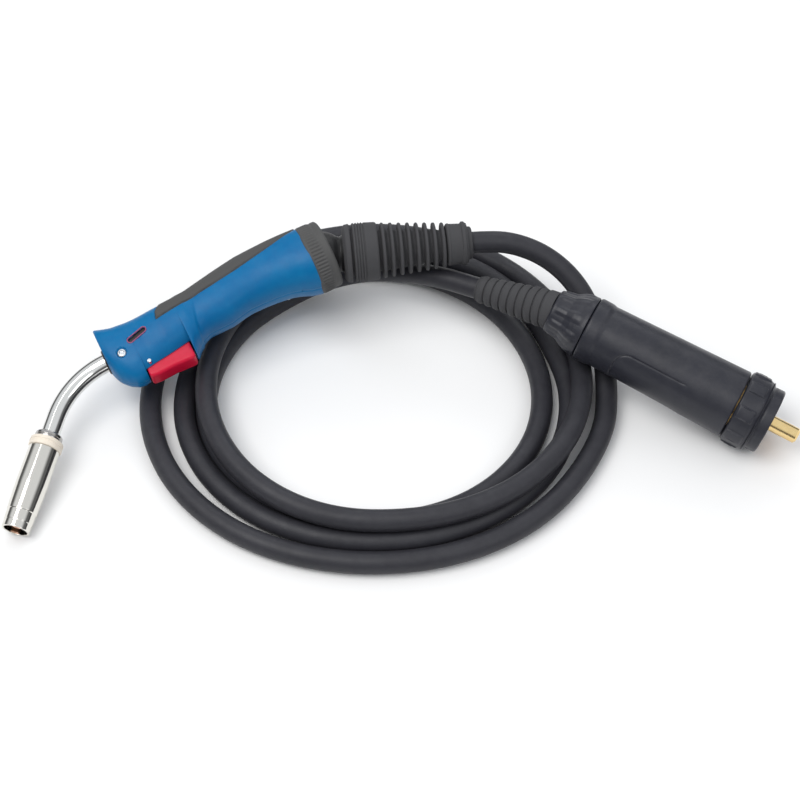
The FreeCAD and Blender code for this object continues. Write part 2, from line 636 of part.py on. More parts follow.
# ------------------------------------------------------------------------------ connector
def build_relief():
    """Ribbed strain relief, thick at the gland and thin where the lead leaves it."""
    count = int(num("relief_ribs"))
    pitch = D["relief_length"] / count
    bore = D["lead_radius"] + 0.1
    outline = [(0, bore)]
    for rib in range(count):
        top = D["relief_thick"] + (D["relief_thin"] - D["relief_thick"]) * (rib / (count - 1))
        at = pitch * rib
        outline += [(at + 0.01, top), (at + pitch * 0.82, top - 0.3), (at + pitch * 0.86, top - 1.0),
                    (at + pitch * 0.99, top - 1.0)]
    outline += [(D["relief_length"], bore)]
    turned("strain_relief", outline, RELIEF)
    keep(rod("relief_lead", D["lead_radius"], D["relief_length"], V(0, 0, 0)), "relief_lead",
         RELIEF.multiply(FreeCAD.Placement(V(0, 0, 0), FreeCAD.Rotation(V(0, 0, 1), V(1, 0, 0)))))


def build_connector():
    """Gland, housing, spinning nut, brass plug with its main pin and two sprung contact pins."""
    small = D["gland_small"] + 2.6
    turned("rear_gland", [(-D["gland_length"], 7.6), (-D["gland_length"], small), (-16, small + 1.4),
                          (-12, D["body_rear"] - 1.6), (-2, D["body_rear"] - 0.4), (-2, 12.0), (-20, 12.0),
                          (-20, 7.6)], PLUG)
    wall = D["body_wall"]
    length = D["body_length"]
    turned("connector_body", [(-1.95, 12.2), (-1.95, D["shoulder"]), (8, D["shoulder"]), (9, D["body_rear"]),
                              (length, D["body_front"]), (length, D["plug_radius"] + 0.02),
                              (length - 4, D["plug_radius"] + 0.02), (length - 4, D["body_front"] - wall),
                              (8, D["body_rear"] - wall), (8, 12.2)], PLUG)
    turned("cable_crimp", [(-15, 2.0), (-15, D["lead_radius"]), (22, D["lead_radius"]), (22, D["crimp_radius"]),
                           (85, D["crimp_radius"]), (85, 2.0)], PLUG)
    front = D["plug_front"]
    blank = turned("plug_blank", [(85.1, 2.0), (85.1, D["plug_radius"]), (108.4, D["plug_radius"]),
                                  (108.4, D["flange_radius"]), (111.5, D["flange_radius"]),
                                  (111.5, D["plug_radius"]), (front, D["plug_radius"]),
                                  (front, D["pin_stem_radius"] + 0.02), (front - 12, D["pin_stem_radius"] + 0.02),
                                  (front - 12, 2.0)], FreeCAD.Placement())
    subparts.pop("plug_blank")
    sleeve = D["contact_radius"] + 1.5
    wells = [rod("contact_well_" + str(side), sleeve, 12.0, V(num("plug_front") - 11.0, 0, side * num("contact_offset")),
                 V(1, 0, 0)) for side in (-1, 1)]
    keep(cut("plug_core", blank, group("contact_wells", wells)), "plug_core", PLUG)
    keep_sleeves = []
    for side in (-1, 1):
        base = V(num("plug_front") - 11.0, 0, side * num("contact_offset"))
        tube = rod("sleeve_" + str(side), sleeve - 0.02, 12.0, base, V(1, 0, 0))
        hole = rod("sleeve_hole_" + str(side), D["contact_radius"] + D["contact_play"], 14.0, base + V(1, 0, 0),
                   V(1, 0, 0))
        keep_sleeves.append(cut("contact_sleeve_" + str(side), tube, hole))
    keep(group("contact_sleeves", keep_sleeves), "contact_sleeves", PLUG)
    for side, node in ((1, "contact_pin_upper"), (-1, "contact_pin_lower")):
        begin = D["plug_front"] - 6.0
        turned(node, [(begin, 0), (begin, D["contact_radius"]), (D["contact_tip"] - 1, D["contact_radius"]),
                      (D["contact_tip"], D["contact_radius"] - 0.8), (D["contact_tip"], 0)],
               PLUG.multiply(FreeCAD.Placement(V(0, 0, side * num("contact_offset")), FreeCAD.Rotation())))
    tip = D["pin_tip"]
    shoulder = front + D["pin_shoulder"]
    turned("main_pin", [(front - 12, D["pin_bore"]), (front - 12, D["pin_stem_radius"]),
                        (shoulder, D["pin_stem_radius"]), (shoulder, D["pin_main_radius"]),
                        (tip - 1.2, D["pin_main_radius"]), (tip, D["pin_main_radius"] - 1.2), (tip, D["pin_bore"])],
           PLUG)
    rear, stop, nose = D["nut_rear"], D["nut_front"], D["nose_front"]
    blank = turned("nut_blank", [(rear, D["nut_lip_bore"]), (rear, D["nut_radius"] - 1), (rear + 1, D["nut_radius"]),
                                 (stop - 4, D["nut_radius"]), (stop, D["nut_radius"] - 2.2), (stop, D["nose_radius"]),
                                 (nose - 0.8, D["nose_radius"]), (nose, D["nose_radius"] - 0.8),
                                 (nose, D["nut_bore"]), (rear + 4.6, D["nut_bore"]),
                                 (rear + 4.6, D["nut_lip_bore"])], FreeCAD.Placement())
    subparts.pop("nut_blank")
    grooves = []
    for index in range(8):
        angle = math.radians(45 * index + 22.5)
        out = V(0, math.cos(angle), math.sin(angle))
        grooves.append(rod("nut_groove_" + str(index), 3.0, 11.0,
                           V(num("nut_front") - 10, 0, 0) + out * (num("nut_radius") + 1.6), V(1, 0, 0)))
    keep(cut("connector_nut", blank, group("nut_grooves", grooves)), "connector_nut", PLUG)
    turned("nut_thread", [(112.2, D["nut_bore"] - 2.6), (112.2, D["nut_bore"] - 0.01), (nose, D["nut_bore"] - 0.01),
                          (nose, D["nut_bore"] - 1.8), (nose - 1.0, D["nut_bore"] - 2.6)], PLUG)
    screws = []
    for index, at in enumerate((14.0, 94.0)):
        shank = rod("housing_screw_shank_" + str(index), 1.4, 6.0, V(at, 0, 14.0))
        head = rod("housing_screw_head_" + str(index), 2.6, 1.6, V(at, 0, 20.0))
        screws.append(joined("housing_screw_" + str(index), [shank, head]))
    keep(group("housing_screws", screws), "housing_screws", PLUG)


def check_and_write():
    """Stop on a failed or invalid object, then write one file a sub-part."""
    doc.recompute()
    for obj in doc.Objects:
        if "Invalid" in obj.State or "Error" in obj.State:
            raise RuntimeError("failed object " + obj.Label)
    for node, obj in subparts.items():
        shape = obj.Shape
        if shape.isNull() or not shape.isValid() or not shape.Solids:
            raise RuntimeError("bad shape " + node)
        shape.exportStep("parts/" + node + ".step")
        box = shape.BoundBox
        print(node, len(shape.Solids), round(shape.Volume),
              [round(v, 1) for v in (box.XMin, box.YMin, box.ZMin, box.XMax, box.YMax, box.ZMax)])


build_neck()
build_handle()
build_trigger()
build_joint()
build_support()
build_lead()
build_relief()
build_connector()
check_and_write()
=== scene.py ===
"""Welding torch on a coiled lead: the visible pieces, built around the fixed CAD frame.

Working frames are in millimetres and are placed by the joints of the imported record: torch (X to the
nozzle, Y to the trigger, Z up from the side it lies on), support (X along the lead), plug (X to the pin).
"""
import json
import logging
import math
from dataclasses import dataclass, field
from enum import Enum
from typing import Callable, Optional, Sequence

import bmesh
import bpy
import numpy as np
from mathutils import Matrix, Vector

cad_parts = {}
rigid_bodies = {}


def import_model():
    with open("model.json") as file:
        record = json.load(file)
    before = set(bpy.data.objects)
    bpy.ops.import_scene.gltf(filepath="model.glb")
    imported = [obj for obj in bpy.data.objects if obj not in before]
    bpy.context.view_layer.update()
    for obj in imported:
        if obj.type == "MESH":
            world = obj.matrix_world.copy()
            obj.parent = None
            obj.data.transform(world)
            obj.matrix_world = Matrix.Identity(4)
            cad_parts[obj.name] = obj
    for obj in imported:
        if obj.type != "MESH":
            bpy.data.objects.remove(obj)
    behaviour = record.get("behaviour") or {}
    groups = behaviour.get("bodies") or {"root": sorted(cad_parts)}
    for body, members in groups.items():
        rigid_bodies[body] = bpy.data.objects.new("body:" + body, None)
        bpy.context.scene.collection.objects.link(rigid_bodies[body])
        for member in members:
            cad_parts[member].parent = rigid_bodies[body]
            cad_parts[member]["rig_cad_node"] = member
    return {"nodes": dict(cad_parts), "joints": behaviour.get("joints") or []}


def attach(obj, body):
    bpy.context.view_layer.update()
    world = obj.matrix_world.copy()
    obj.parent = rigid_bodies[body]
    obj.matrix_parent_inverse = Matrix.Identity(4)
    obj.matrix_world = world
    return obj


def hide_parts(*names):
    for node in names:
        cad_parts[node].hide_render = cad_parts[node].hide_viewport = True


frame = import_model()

LOG = logging.getLogger("torch")
MM = 0.001
BUMP_DEPTH = 0.0006
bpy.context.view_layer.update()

Colour = tuple[float, float, float]
Outline = Sequence[tuple[float, float]]
Swell = Callable[[np.ndarray, np.ndarray], np.ndarray]


# ------------------------------------------------------------------------------- working frames
def placed(origin: Sequence[float], yaw: float, pitch: float = 0.0, roll: float = 0.0) -> Matrix:
    """Matrix of a working frame in millimetres.

    Args:
        origin: where its origin lies, in metres.
        yaw: turn about Z, in degrees.
        pitch: then the tip of X downwards, in degrees.
        roll: then the turn about X, in degrees.

    Returns:
        The matrix from local millimetres to metres in the row frame.
    """
    turn = (Matrix.Rotation(math.radians(yaw), 4, "Z") @ Matrix.Rotation(math.radians(pitch), 4, "Y")
            @ Matrix.Rotation(math.radians(roll), 4, "X"))
    return Matrix.Translation(Vector(origin)) @ turn @ Matrix.Scale(MM, 4)


def joint(name: str) -> dict:
    """The record of the joint of that name."""
    return next(entry for entry in frame["joints"] if entry["name"] == name)


NUT_MIDDLE = 112.0
RELIEF_START = -24.0
NUT = joint("nut_spin")
BALL = Vector(joint("ball_swing")["pos_m"])
TORCH = placed(BALL, 204.8, 9.2, -8.8)
SUPPORT = placed(BALL, 5.9, -1.0)
PLUG = placed(Vector(NUT["pos_m"]) - Vector(NUT["axis"]) * NUT_MIDDLE * MM, -26.7, 10.95)
RELIEF = placed(PLUG @ Vector((RELIEF_START, 0, 0)), 152.7, 6.5)
NECK_EXIT = Vector((151.4, 5.3, 0))
NECK_BEND = 58.0
NECK_ANGLE = 50.0
NECK_STRAIGHT = 15.8


def neck_end() -> Vector:
    """Where the swan neck ends, in the torch frame.

    Returns:
        The middle of its end.
    """
    angle = math.radians(NECK_ANGLE)
    return NECK_EXIT + Vector((NECK_BEND * math.sin(angle) + NECK_STRAIGHT * math.cos(angle),
                               NECK_BEND * (1 - math.cos(angle)) + NECK_STRAIGHT * math.sin(angle), 0))


NOZZLE = TORCH @ Matrix.Translation(neck_end()) @ Matrix.Rotation(math.radians(NECK_ANGLE), 4, "Z")


# ------------------------------------------------------------------------------- shader effects
class Wiring:
    """Adds nodes to one tree and joins them."""

    def __init__(self, tree: bpy.types.NodeTree) -> None:
        """Take the tree that the nodes go into."""
        self.tree = tree

    def add(self, kind: str, **values: object) -> bpy.types.Node:
        """Add a node.

        Args:
            kind: the node's type.
            values: its properties, or its inputs by name with spaces as underscores.

        Returns:
            The new node.
        """
        node = self.tree.nodes.new(kind)
        for name, value in values.items():
            if hasattr(node, name):
                setattr(node, name, value)
            else:
                self.feed(node.inputs[name.replace("_", " ")], value)
        return node

    def feed(self, socket: bpy.types.NodeSocket, value: object) -> None:
        """Link an output to a socket, or set a plain number or colour on it.

        Args:
            socket: the input.
            value: an output, a number or a colour.
        """
        if isinstance(value, bpy.types.NodeSocket):
            self.tree.links.new(value, socket)
        elif isinstance(value, tuple) and len(value) == 3 and socket.type == "RGBA":
            socket.default_value = (*value, 1.0)
        else:
            socket.default_value = value

    def sum(self, operation: str, first: object, second: object = 0.0, clamp: bool = False) -> object:
        """A math node's output.

        Args:
            operation: what it works out.
            first: its first value.
            second: its second value.
            clamp: whether the result stays between 0 and 1.

        Returns:
            The result.
        """
        node = self.add("ShaderNodeMath", operation=operation, use_clamp=clamp)
        self.feed(node.inputs[0], first)
        self.feed(node.inputs[1], second)
        return node.outputs[0]

    def mix(self, share: object, first: object, second: object, blend: str = "MIX") -> object:
        """A colour mix's output.

        Args:
            share: how much of the second shows.
            first: the colour at 0.
            second: the colour at 1.
            blend: how they are mixed.

        Returns:
            The mixed colour.
        """
        node = self.add("ShaderNodeMix", data_type="RGBA", blend_type=blend)
        self.feed(node.inputs[0], share)
        self.feed(node.inputs[6], first)
        self.feed(node.inputs[7], second)
        return node.outputs[2]

    def span(self, value: object, low: float, high: float, to_low: float = 0.0,
             to_high: float = 1.0) -> object:
        """A clamped map from one range to another.

        Args:
            value: what is mapped.
            low: where the map starts.
            high: where it ends.
            to_low: the result at its start.
            to_high: the result at its end.

        Returns:
            The mapped value.
        """
        node = self.add("ShaderNodeMapRange", clamp=True)
        for socket, number in zip(node.inputs[:5], (value, low, high, to_low, to_high)):
            self.feed(socket, number)
        return node.outputs[0]

    def noise(self, scale: object, detail: float, vector: object, rough: float = 0.5) -> object:
        """A noise texture's value.

        Args:
            scale: how fine it is.
            detail: its number of finer layers.
            vector: where it is read.
            rough: how strong the finer layers are.

        Returns:
            The value.
        """
        node = self.add("ShaderNodeTexNoise", Detail=detail, Roughness=rough)
        self.feed(node.inputs["Scale"], scale)
        self.feed(node.inputs["Vector"], vector)
        return node.outputs["Fac"]


class Effects:
    """The shader node groups that several finishes share, each built once."""

    def __init__(self) -> None:
        """Build every group."""
        self.mottling = self._mottling()
        self.grain = self._grain()
        self.wear = self._wear()
        self.dust = self._dust()
        self.scuffs = self._scuffs()
        self.tooling = self._tooling()

    @staticmethod
    def _group(name: str, inputs: dict[str, object],
               outputs: dict[str, str]) -> tuple[Wiring, object, object]:
        """A new group with its named sockets.

        Args:
            name: the group's name.
            inputs: default value of each input; a colour is three numbers.
            outputs: socket kind of each output.

        Returns:
            The wiring of the group, its input node's outputs and its output node's inputs.
        """
        tree = bpy.data.node_groups.new(name, "ShaderNodeTree")
        for key, value in inputs.items():
            kind = "NodeSocketColor" if isinstance(value, tuple) else "NodeSocketFloat"
            socket = tree.interface.new_socket(key, in_out="INPUT", socket_type=kind)
            socket.default_value = (*value, 1.0) if isinstance(value, tuple) else value
        for key, kind in outputs.items():
            tree.interface.new_socket(key, in_out="OUTPUT", socket_type=kind)
        wiring = Wiring(tree)
        return wiring, wiring.add("NodeGroupInput").outputs, wiring.add("NodeGroupOutput").inputs

    def _mottling(self) -> bpy.types.NodeTree:
        """Slow cloudy change between two tones.

        Returns:
            The group, which gives a colour.
        """
        w, given, out = self._group("mottling", {"Base": (0.5, 0.5, 0.5), "Accent": (0.4, 0.4, 0.4),
                                                 "Scale": 40.0, "Amount": 0.5}, {"Colour": "NodeSocketColor"})
        where = w.add("ShaderNodeTexCoord").outputs["Object"]
        slow = w.noise(given["Scale"], 4.0, where)
        quick = w.noise(w.sum("MULTIPLY", given["Scale"], 7.3), 3.0, where)
        both = w.sum("ADD", w.sum("MULTIPLY", slow, 0.7), w.sum("MULTIPLY", quick, 0.3))
        share = w.sum("MULTIPLY", w.span(both, 0.36, 0.64), given["Amount"])
        w.feed(out["Colour"], w.mix(share, given["Base"], given["Accent"]))
        return w.tree

    def _grain(self) -> bpy.types.NodeTree:
        """Fine moulded or rubber grain as a height and an uneven value.

        Returns:
            The group.
        """
        w, given, out = self._group("grain", {"Scale": 900.0, "Waviness": 0.3},
                                    {"Height": "NodeSocketFloat", "Unevenness": "NodeSocketFloat"})
        where = w.add("ShaderNodeTexCoord").outputs["Object"]
        cells = w.add("ShaderNodeTexVoronoi")
        w.feed(cells.inputs["Vector"], where)
        w.feed(cells.inputs["Scale"], given["Scale"])
        fine = w.noise(w.sum("MULTIPLY", given["Scale"], 0.8), 3.0, where)
        broad = w.noise(w.sum("MULTIPLY", given["Scale"], 0.06), 2.0, where)
        pebbles = w.sum("ADD", w.sum("MULTIPLY", cells.outputs["Distance"], 0.55),
                        w.sum("MULTIPLY", fine, 0.45))
        w.feed(out["Height"], w.sum("ADD", pebbles, w.sum("MULTIPLY", broad, given["Waviness"])))
        w.feed(out["Unevenness"], w.span(w.sum("ADD", broad, w.sum("MULTIPLY", fine, 0.4)), 0.45, 0.95))
        return w.tree

    def _wear(self) -> bpy.types.NodeTree:
        """Mask of raised edges, broken up.

        Returns:
            The group, which gives a mask.
        """
        w, given, out = self._group("worn_edges", {"Start": 0.52, "End": 0.6, "Breakup": 300.0},
                                    {"Mask": "NodeSocketFloat"})
        where = w.add("ShaderNodeTexCoord").outputs["Object"]
        edge = w.add("ShaderNodeMapRange", clamp=True)
        w.feed(edge.inputs[0], w.add("ShaderNodeNewGeometry").outputs["Pointiness"])
        w.feed(edge.inputs[1], given["Start"])
        w.feed(edge.inputs[2], given["End"])
        broken = w.span(w.noise(given["Breakup"], 4.0, where), 0.32, 0.62, 0.25, 1.0)
        w.feed(out["Mask"], w.sum("MULTIPLY", edge.outputs[0], broken))
        return w.tree

    def _dust(self) -> bpy.types.NodeTree:
        """Mask of thin dust on faces that look up.

        Returns:
            The group, which gives a mask.
        """
        w, given, out = self._group("settled_dust", {"Scale": 120.0, "Amount": 0.3},
                                    {"Mask": "NodeSocketFloat"})
        place = w.add("ShaderNodeTexCoord")
        split = w.add("ShaderNodeSeparateXYZ")
        w.feed(split.inputs[0], place.outputs["Normal"])
        up = w.span(split.outputs["Z"], 0.15, 0.95)
        specks = w.span(w.noise(given["Scale"], 6.0, place.outputs["Object"], 0.7), 0.42, 0.72)
        w.feed(out["Mask"], w.sum("MULTIPLY", w.sum("MULTIPLY", up, specks), given["Amount"]))
        return w.tree

    def _scuffs(self) -> bpy.types.NodeTree:
        """Mask of thin rubbed streaks that run mostly one way.

        Returns:
            The group, which gives a mask.
        """
        w, given, out = self._group("scuffs", {"Scale": 60.0, "Amount": 0.5}, {"Mask": "NodeSocketFloat"})
        where = w.add("ShaderNodeTexCoord").outputs["Object"]
        squeeze = w.add("ShaderNodeMapping")
        w.feed(squeeze.inputs["Vector"], where)
        squeeze.inputs["Rotation"].default_value = (0.3, 0.5, 0.8)
        squeeze.inputs["Scale"].default_value = (1.0, 9.0, 9.0)
        streak = w.span(w.noise(given["Scale"], 3.0, squeeze.outputs[0]), 0.6, 0.74)
        patch = w.span(w.noise(w.sum("MULTIPLY", given["Scale"], 0.35), 2.0, where), 0.5, 0.68)
        w.feed(out["Mask"], w.sum("MULTIPLY", w.sum("MULTIPLY", streak, patch), given["Amount"]))
        return w.tree

    def _tooling(self) -> bpy.types.NodeTree:
        """Turning or drawing marks that follow the strip laid round a turned piece.

        Returns:
            The group, which gives a height and an uneven value.
        """
        w, given, out = self._group("tooling", {"Around": 2.0, "Along": 3.0},
                                    {"Height": "NodeSocketFloat", "Unevenness": "NodeSocketFloat"})
        strip = w.add("ShaderNodeTexCoord").outputs["UV"]
        split = w.add("ShaderNodeSeparateXYZ")
        w.feed(split.inputs[0], strip)
        join = w.add("ShaderNodeCombineXYZ")
        w.feed(join.inputs[0], w.sum("MULTIPLY", split.outputs["X"], given["Around"]))
        w.feed(join.inputs[1], w.sum("MULTIPLY", split.outputs["Y"], given["Along"]))
        lines = w.noise(1.0, 4.0, join.outputs[0], 0.6)
        w.feed(out["Height"], lines)
        w.feed(out["Unevenness"], w.span(lines, 0.3, 0.7))
        return w.tree


EFFECTS = Effects()


def effect(wiring: Wiring, tree: bpy.types.NodeTree, **values: object) -> bpy.types.NodeOutputs:
    """Place a shared group in a material.

    Args:
        wiring: the material's wiring.
        tree: the group.
        values: its inputs by name.

    Returns:
        The outputs of the group node.
    """
    node = wiring.add("ShaderNodeGroup", node_tree=tree)
    for name, value in values.items():
        wiring.feed(node.inputs[name], value)
    return node.outputs


class Marks(Enum):
    """What gives a finish its fine relief."""

    GRAIN = "grain"
    TOOLING = "tooling"


@dataclass(frozen=True)
class Finish:
    """A finish with its tones, gloss and fine relief."""

    name: str
    slot: str
    base: Colour
    accent: Colour
    roughness: tuple[float, float]
    metallic: float = 0.0
    mottle_scale: float = 45.0
    mottle: float = 0.5
    marks: Marks = Marks.GRAIN
    grain_scale: float = 1500.0
    waviness: float = 0.3
    relief: float = 0.12
    around: float = 2.0
    along: float = 3.0
    wear: float = 0.0
    wear_tone: Colour = (0.3, 0.3, 0.3)
    dust: float = 0.0
    dust_tone: Colour = (0.45, 0.43, 0.4)
    scuffs: float = 0.0
    scuff_tone: Colour = (0.2, 0.2, 0.21)
    specular: float = 0.5

    def material(self) -> bpy.types.Material:
        """The material of this finish, built on first use.

        Returns:
            The material.
        """
        known = bpy.data.materials.get(self.name)
        if known is not None:
            return known
        made = bpy.data.materials.new(self.name)
        made.use_nodes = True
        w = Wiring(made.node_tree)
        shader = made.node_tree.nodes["Principled BSDF"]
        shader.inputs["Metallic"].default_value = self.metallic
        shader.inputs["Specular IOR Level"].default_value = self.specular
        tone = effect(w, EFFECTS.mottling, Base=self.base, Accent=self.accent, Scale=self.mottle_scale,
                      Amount=self.mottle)["Colour"]
        if self.scuffs:
            rubbed = effect(w, EFFECTS.scuffs, Amount=self.scuffs)["Mask"]
            tone = w.mix(rubbed, tone, self.scuff_tone)
        if self.wear:
            worn = effect(w, EFFECTS.wear)["Mask"]
            tone = w.mix(w.sum("MULTIPLY", worn, self.wear), tone, self.wear_tone)
        if self.dust:
            settled = effect(w, EFFECTS.dust, Amount=self.dust)["Mask"]
            tone = w.mix(settled, tone, self.dust_tone)
        w.feed(shader.inputs["Base Color"], tone)
        if self.marks is Marks.TOOLING:
            relief = effect(w, EFFECTS.tooling, Around=self.around, Along=self.along)
        else:
            relief = effect(w, EFFECTS.grain, Scale=self.grain_scale, Waviness=self.waviness)
        w.feed(shader.inputs["Roughness"], w.span(relief["Unevenness"], 0.0, 1.0, *self.roughness))
        bump = w.add("ShaderNodeBump", Strength=self.relief, Distance=BUMP_DEPTH)
        w.feed(bump.inputs["Height"], relief["Height"])
        w.feed(shader.inputs["Normal"], bump.outputs[0])
        return made

    def dress(self, piece: bpy.types.Object) -> None:
        """Give a piece this finish.

        Args:
            piece: the piece or CAD node.
        """
        piece.data.materials.clear()
        piece.data.materials.append(self.material())


LEAD_RUBBER = Finish("lead_rubber", "cable_rubber", (0.024, 0.024, 0.030), (0.037, 0.037, 0.045),
                     (0.42, 0.58), mottle_scale=30, mottle=0.6, grain_scale=1300, relief=0.16,
                     waviness=0.8, specular=0.34, scuffs=0.3, scuff_tone=(0.05, 0.051, 0.057),
                     dust=0.05, dust_tone=(0.12, 0.12, 0.13))
HANDLE_BLUE = Finish("handle_blue", "blue_plastic", (0.0, 0.118, 0.315), (0.0, 0.178, 0.405), (0.32, 0.44),
                     mottle_scale=24, mottle=0.6, grain_scale=1700, relief=0.1, wear=0.3,
                     wear_tone=(0.04, 0.25, 0.5), specular=0.2, dust=0.02)
GRIP = Finish("grip_rubber", "grip_rubber", (0.062, 0.052, 0.051), (0.095, 0.079, 0.074), (0.45, 0.62),
              mottle_scale=60, mottle=0.8, grain_scale=900, relief=0.3, wear=0.1,
              wear_tone=(0.2, 0.17, 0.15), specular=0.3, dust=0.08, dust_tone=(0.2, 0.19, 0.18))
RING_PLASTIC = Finish("ring_plastic", "ring_plastic", (0.058, 0.055, 0.056), (0.082, 0.077, 0.077),
                      (0.45, 0.6), grain_scale=1300, relief=0.18, wear=0.15, wear_tone=(0.2, 0.19, 0.18),
                      specular=0.35, dust=0.05)
SUPPORT_RUBBER = Finish("support_rubber", "support_rubber", (0.043, 0.044, 0.061), (0.073, 0.075, 0.103),
                        (0.27, 0.38), grain_scale=1300, relief=0.14, wear=0.15,
                        wear_tone=(0.15, 0.155, 0.175), dust=0.04, dust_tone=(0.15, 0.15, 0.15),
                        specular=0.55)
HOUSING = Finish("housing_plastic", "connector_plastic", (0.018, 0.019, 0.027), (0.030, 0.031, 0.042),
                 (0.32, 0.44), grain_scale=1500, relief=0.15, wear=0.4, wear_tone=(0.075, 0.078, 0.09),
                 scuffs=0.2, scuff_tone=(0.045, 0.047, 0.053), dust=0.03, specular=0.4)
JOINT_BLACK = Finish("joint_black", "black_plastic", (0.011, 0.011, 0.012), (0.019, 0.0185, 0.02),
                     (0.4, 0.55), relief=0.12, wear=0.3, wear_tone=(0.07, 0.07, 0.07), specular=0.4)
DARK_INSIDE = Finish("dark_inside", "dark_plastic", (0.012, 0.009, 0.011), (0.022, 0.014, 0.018), (0.35, 0.5),
                     relief=0.1, specular=0.35)
SLOT_RIM = Finish("slot_rim", "red_plastic", (0.30, 0.07, 0.16), (0.22, 0.06, 0.2), (0.3, 0.45), relief=0.08)
TRIGGER_RED = Finish("trigger_red", "red_plastic", (0.58, 0.004, 0.035), (0.68, 0.008, 0.05), (0.3, 0.42),
                     mottle_scale=50, grain_scale=1700, relief=0.1, wear=0.3,
                     wear_tone=(0.85, 0.12, 0.18), specular=0.3)
CHROME = Finish("chromed_tube", "chromed_tube", (0.78, 0.77, 0.73), (0.70, 0.68, 0.63), (0.07, 0.16),
                metallic=1.0, mottle_scale=80, marks=Marks.TOOLING, around=40.0, along=0.15, relief=0.03)
NICKEL = Finish("nickel_nozzle", "nickel_nozzle", (0.72, 0.70, 0.65), (0.60, 0.57, 0.52), (0.16, 0.28),
                metallic=1.0, mottle_scale=70, marks=Marks.TOOLING, around=1.5, along=6.0, relief=0.06,
                scuffs=0.4, scuff_tone=(0.42, 0.40, 0.38))
DARK_CHROME = Finish("dark_chrome", "dark_chrome", (0.36, 0.35, 0.32), (0.26, 0.25, 0.23), (0.12, 0.22),
                     metallic=1.0, marks=Marks.TOOLING, around=2.0, along=4.0, relief=0.05)
CERAMIC = Finish("cream_insulator", "white_insulator", (0.83, 0.74, 0.62), (0.88, 0.82, 0.74), (0.42, 0.55),
                 grain_scale=1400, relief=0.14, dust=0.1)
BRASS = Finish("plug_brass", "brass", (0.83, 0.55, 0.22), (0.72, 0.43, 0.14), (0.18, 0.3), metallic=1.0,
               mottle_scale=160, relief=0.08, scuffs=0.3, scuff_tone=(0.9, 0.72, 0.45))
PALE_BRASS = Finish("pin_brass", "brass", (0.90, 0.69, 0.34), (0.82, 0.56, 0.24), (0.14, 0.24), metallic=1.0,
                    mottle_scale=160, relief=0.06)
COPPER = Finish("tip_copper", "copper", (0.78, 0.42, 0.27), (0.6, 0.3, 0.18), (0.25, 0.4), metallic=1.0,
                relief=0.1)
COPPER_RING = Finish("thread_ring", "copper_ring", (0.80, 0.46, 0.33), (0.68, 0.36, 0.24), (0.28, 0.42),
                     metallic=1.0, relief=0.12)
STEEL = Finish("bright_steel", "screw_steel", (0.62, 0.66, 0.70), (0.5, 0.53, 0.56), (0.25, 0.38),
               metallic=1.0, relief=0.1)
LINER = Finish("liner_steel", "liner_steel", (0.45, 0.45, 0.45), (0.36, 0.36, 0.36), (0.3, 0.45),
               metallic=1.0, relief=0.2)
SPRING = Finish("spring_steel", "spring_steel", (0.5, 0.5, 0.52), (0.4, 0.4, 0.42), (0.22, 0.36),
                metallic=1.0, relief=0.08)

CAD_FINISHES: dict[str, Finish] = {
    "swan_neck": CHROME, "neck_conductor": COPPER, "wire_liner": LINER, "gas_diffuser": BRASS,
    "tip_holder": BRASS, "contact_tip": COPPER, "neck_block": BRASS, "handle_lead": LEAD_RUBBER,
    "trigger_pin": STEEL, "trigger_spring": SPRING, "trigger_switch": DARK_INSIDE, "switch_plunger": CERAMIC,
    "joint_seat": DARK_INSIDE, "joint_ball": JOINT_BLACK, "support_lead": LEAD_RUBBER,
    "relief_lead": LEAD_RUBBER, "cable_crimp": COPPER, "plug_core": BRASS, "contact_sleeves": DARK_INSIDE,
    "main_pin": PALE_BRASS, "contact_pin_upper": PALE_BRASS, "contact_pin_lower": PALE_BRASS,
    "nut_thread": COPPER_RING, "housing_screws": STEEL,
}


# ------------------------------------------------------------------------------- mesh building
def rounded(points: Outline, radius: float, steps: int = 4, closed: bool = True) -> list[tuple[float, float]]:
    """Round the corners of an outline, with a point each side that keeps its long runs flat.

    Args:
        points: the corners.
        radius: how far from each corner the rounding starts.
        steps: the number of pieces in each rounding.
        closed: whether the last corner joins the first.

    Returns:
        The rounded outline.
    """
    corners = [np.array(point, float) for point in points]
    count, made = len(corners), []
    for index, corner in enumerate(corners):
        if not closed and index in (0, count - 1):
            made.append(tuple(corner))
            continue
        back, on = corners[index - 1] - corner, corners[(index + 1) % count] - corner
        room = min(radius, 0.3 * np.linalg.norm(back), 0.3 * np.linalg.norm(on))
        if room < 0.01:
            made.append(tuple(corner))
            continue
        back, on = back / np.linalg.norm(back), on / np.linalg.norm(on)
        made.append(tuple(corner + back * room * 1.5))
        for step in range(steps + 1):
            t = step / steps
            made.append(tuple(corner + back * room * (1 - t) ** 2 + on * room * t ** 2))
        made.append(tuple(corner + on * room * 1.5))
    return made


def divided(points: Outline, spacing: float) -> list[tuple[float, float]]:
    """Add points to a closed outline so that none are further apart than spacing.

    Args:
        points: the outline.
        spacing: the widest gap left.

    Returns:
        The outline with its added points.
    """
    made = []
    for index, point in enumerate(points):
        here, there = np.array(point), np.array(points[(index + 1) % len(points)])
        count = max(1, math.ceil(np.linalg.norm(there - here) / spacing))
        made += [tuple(here + (there - here) * k / count) for k in range(count)]
    return made


def eased(value: np.ndarray, low: float, high: float) -> np.ndarray:
    """0 below low, 1 above high and smooth in between."""
    t = np.clip((value - low) / (high - low), 0, 1)
    return t * t * (3 - 2 * t)


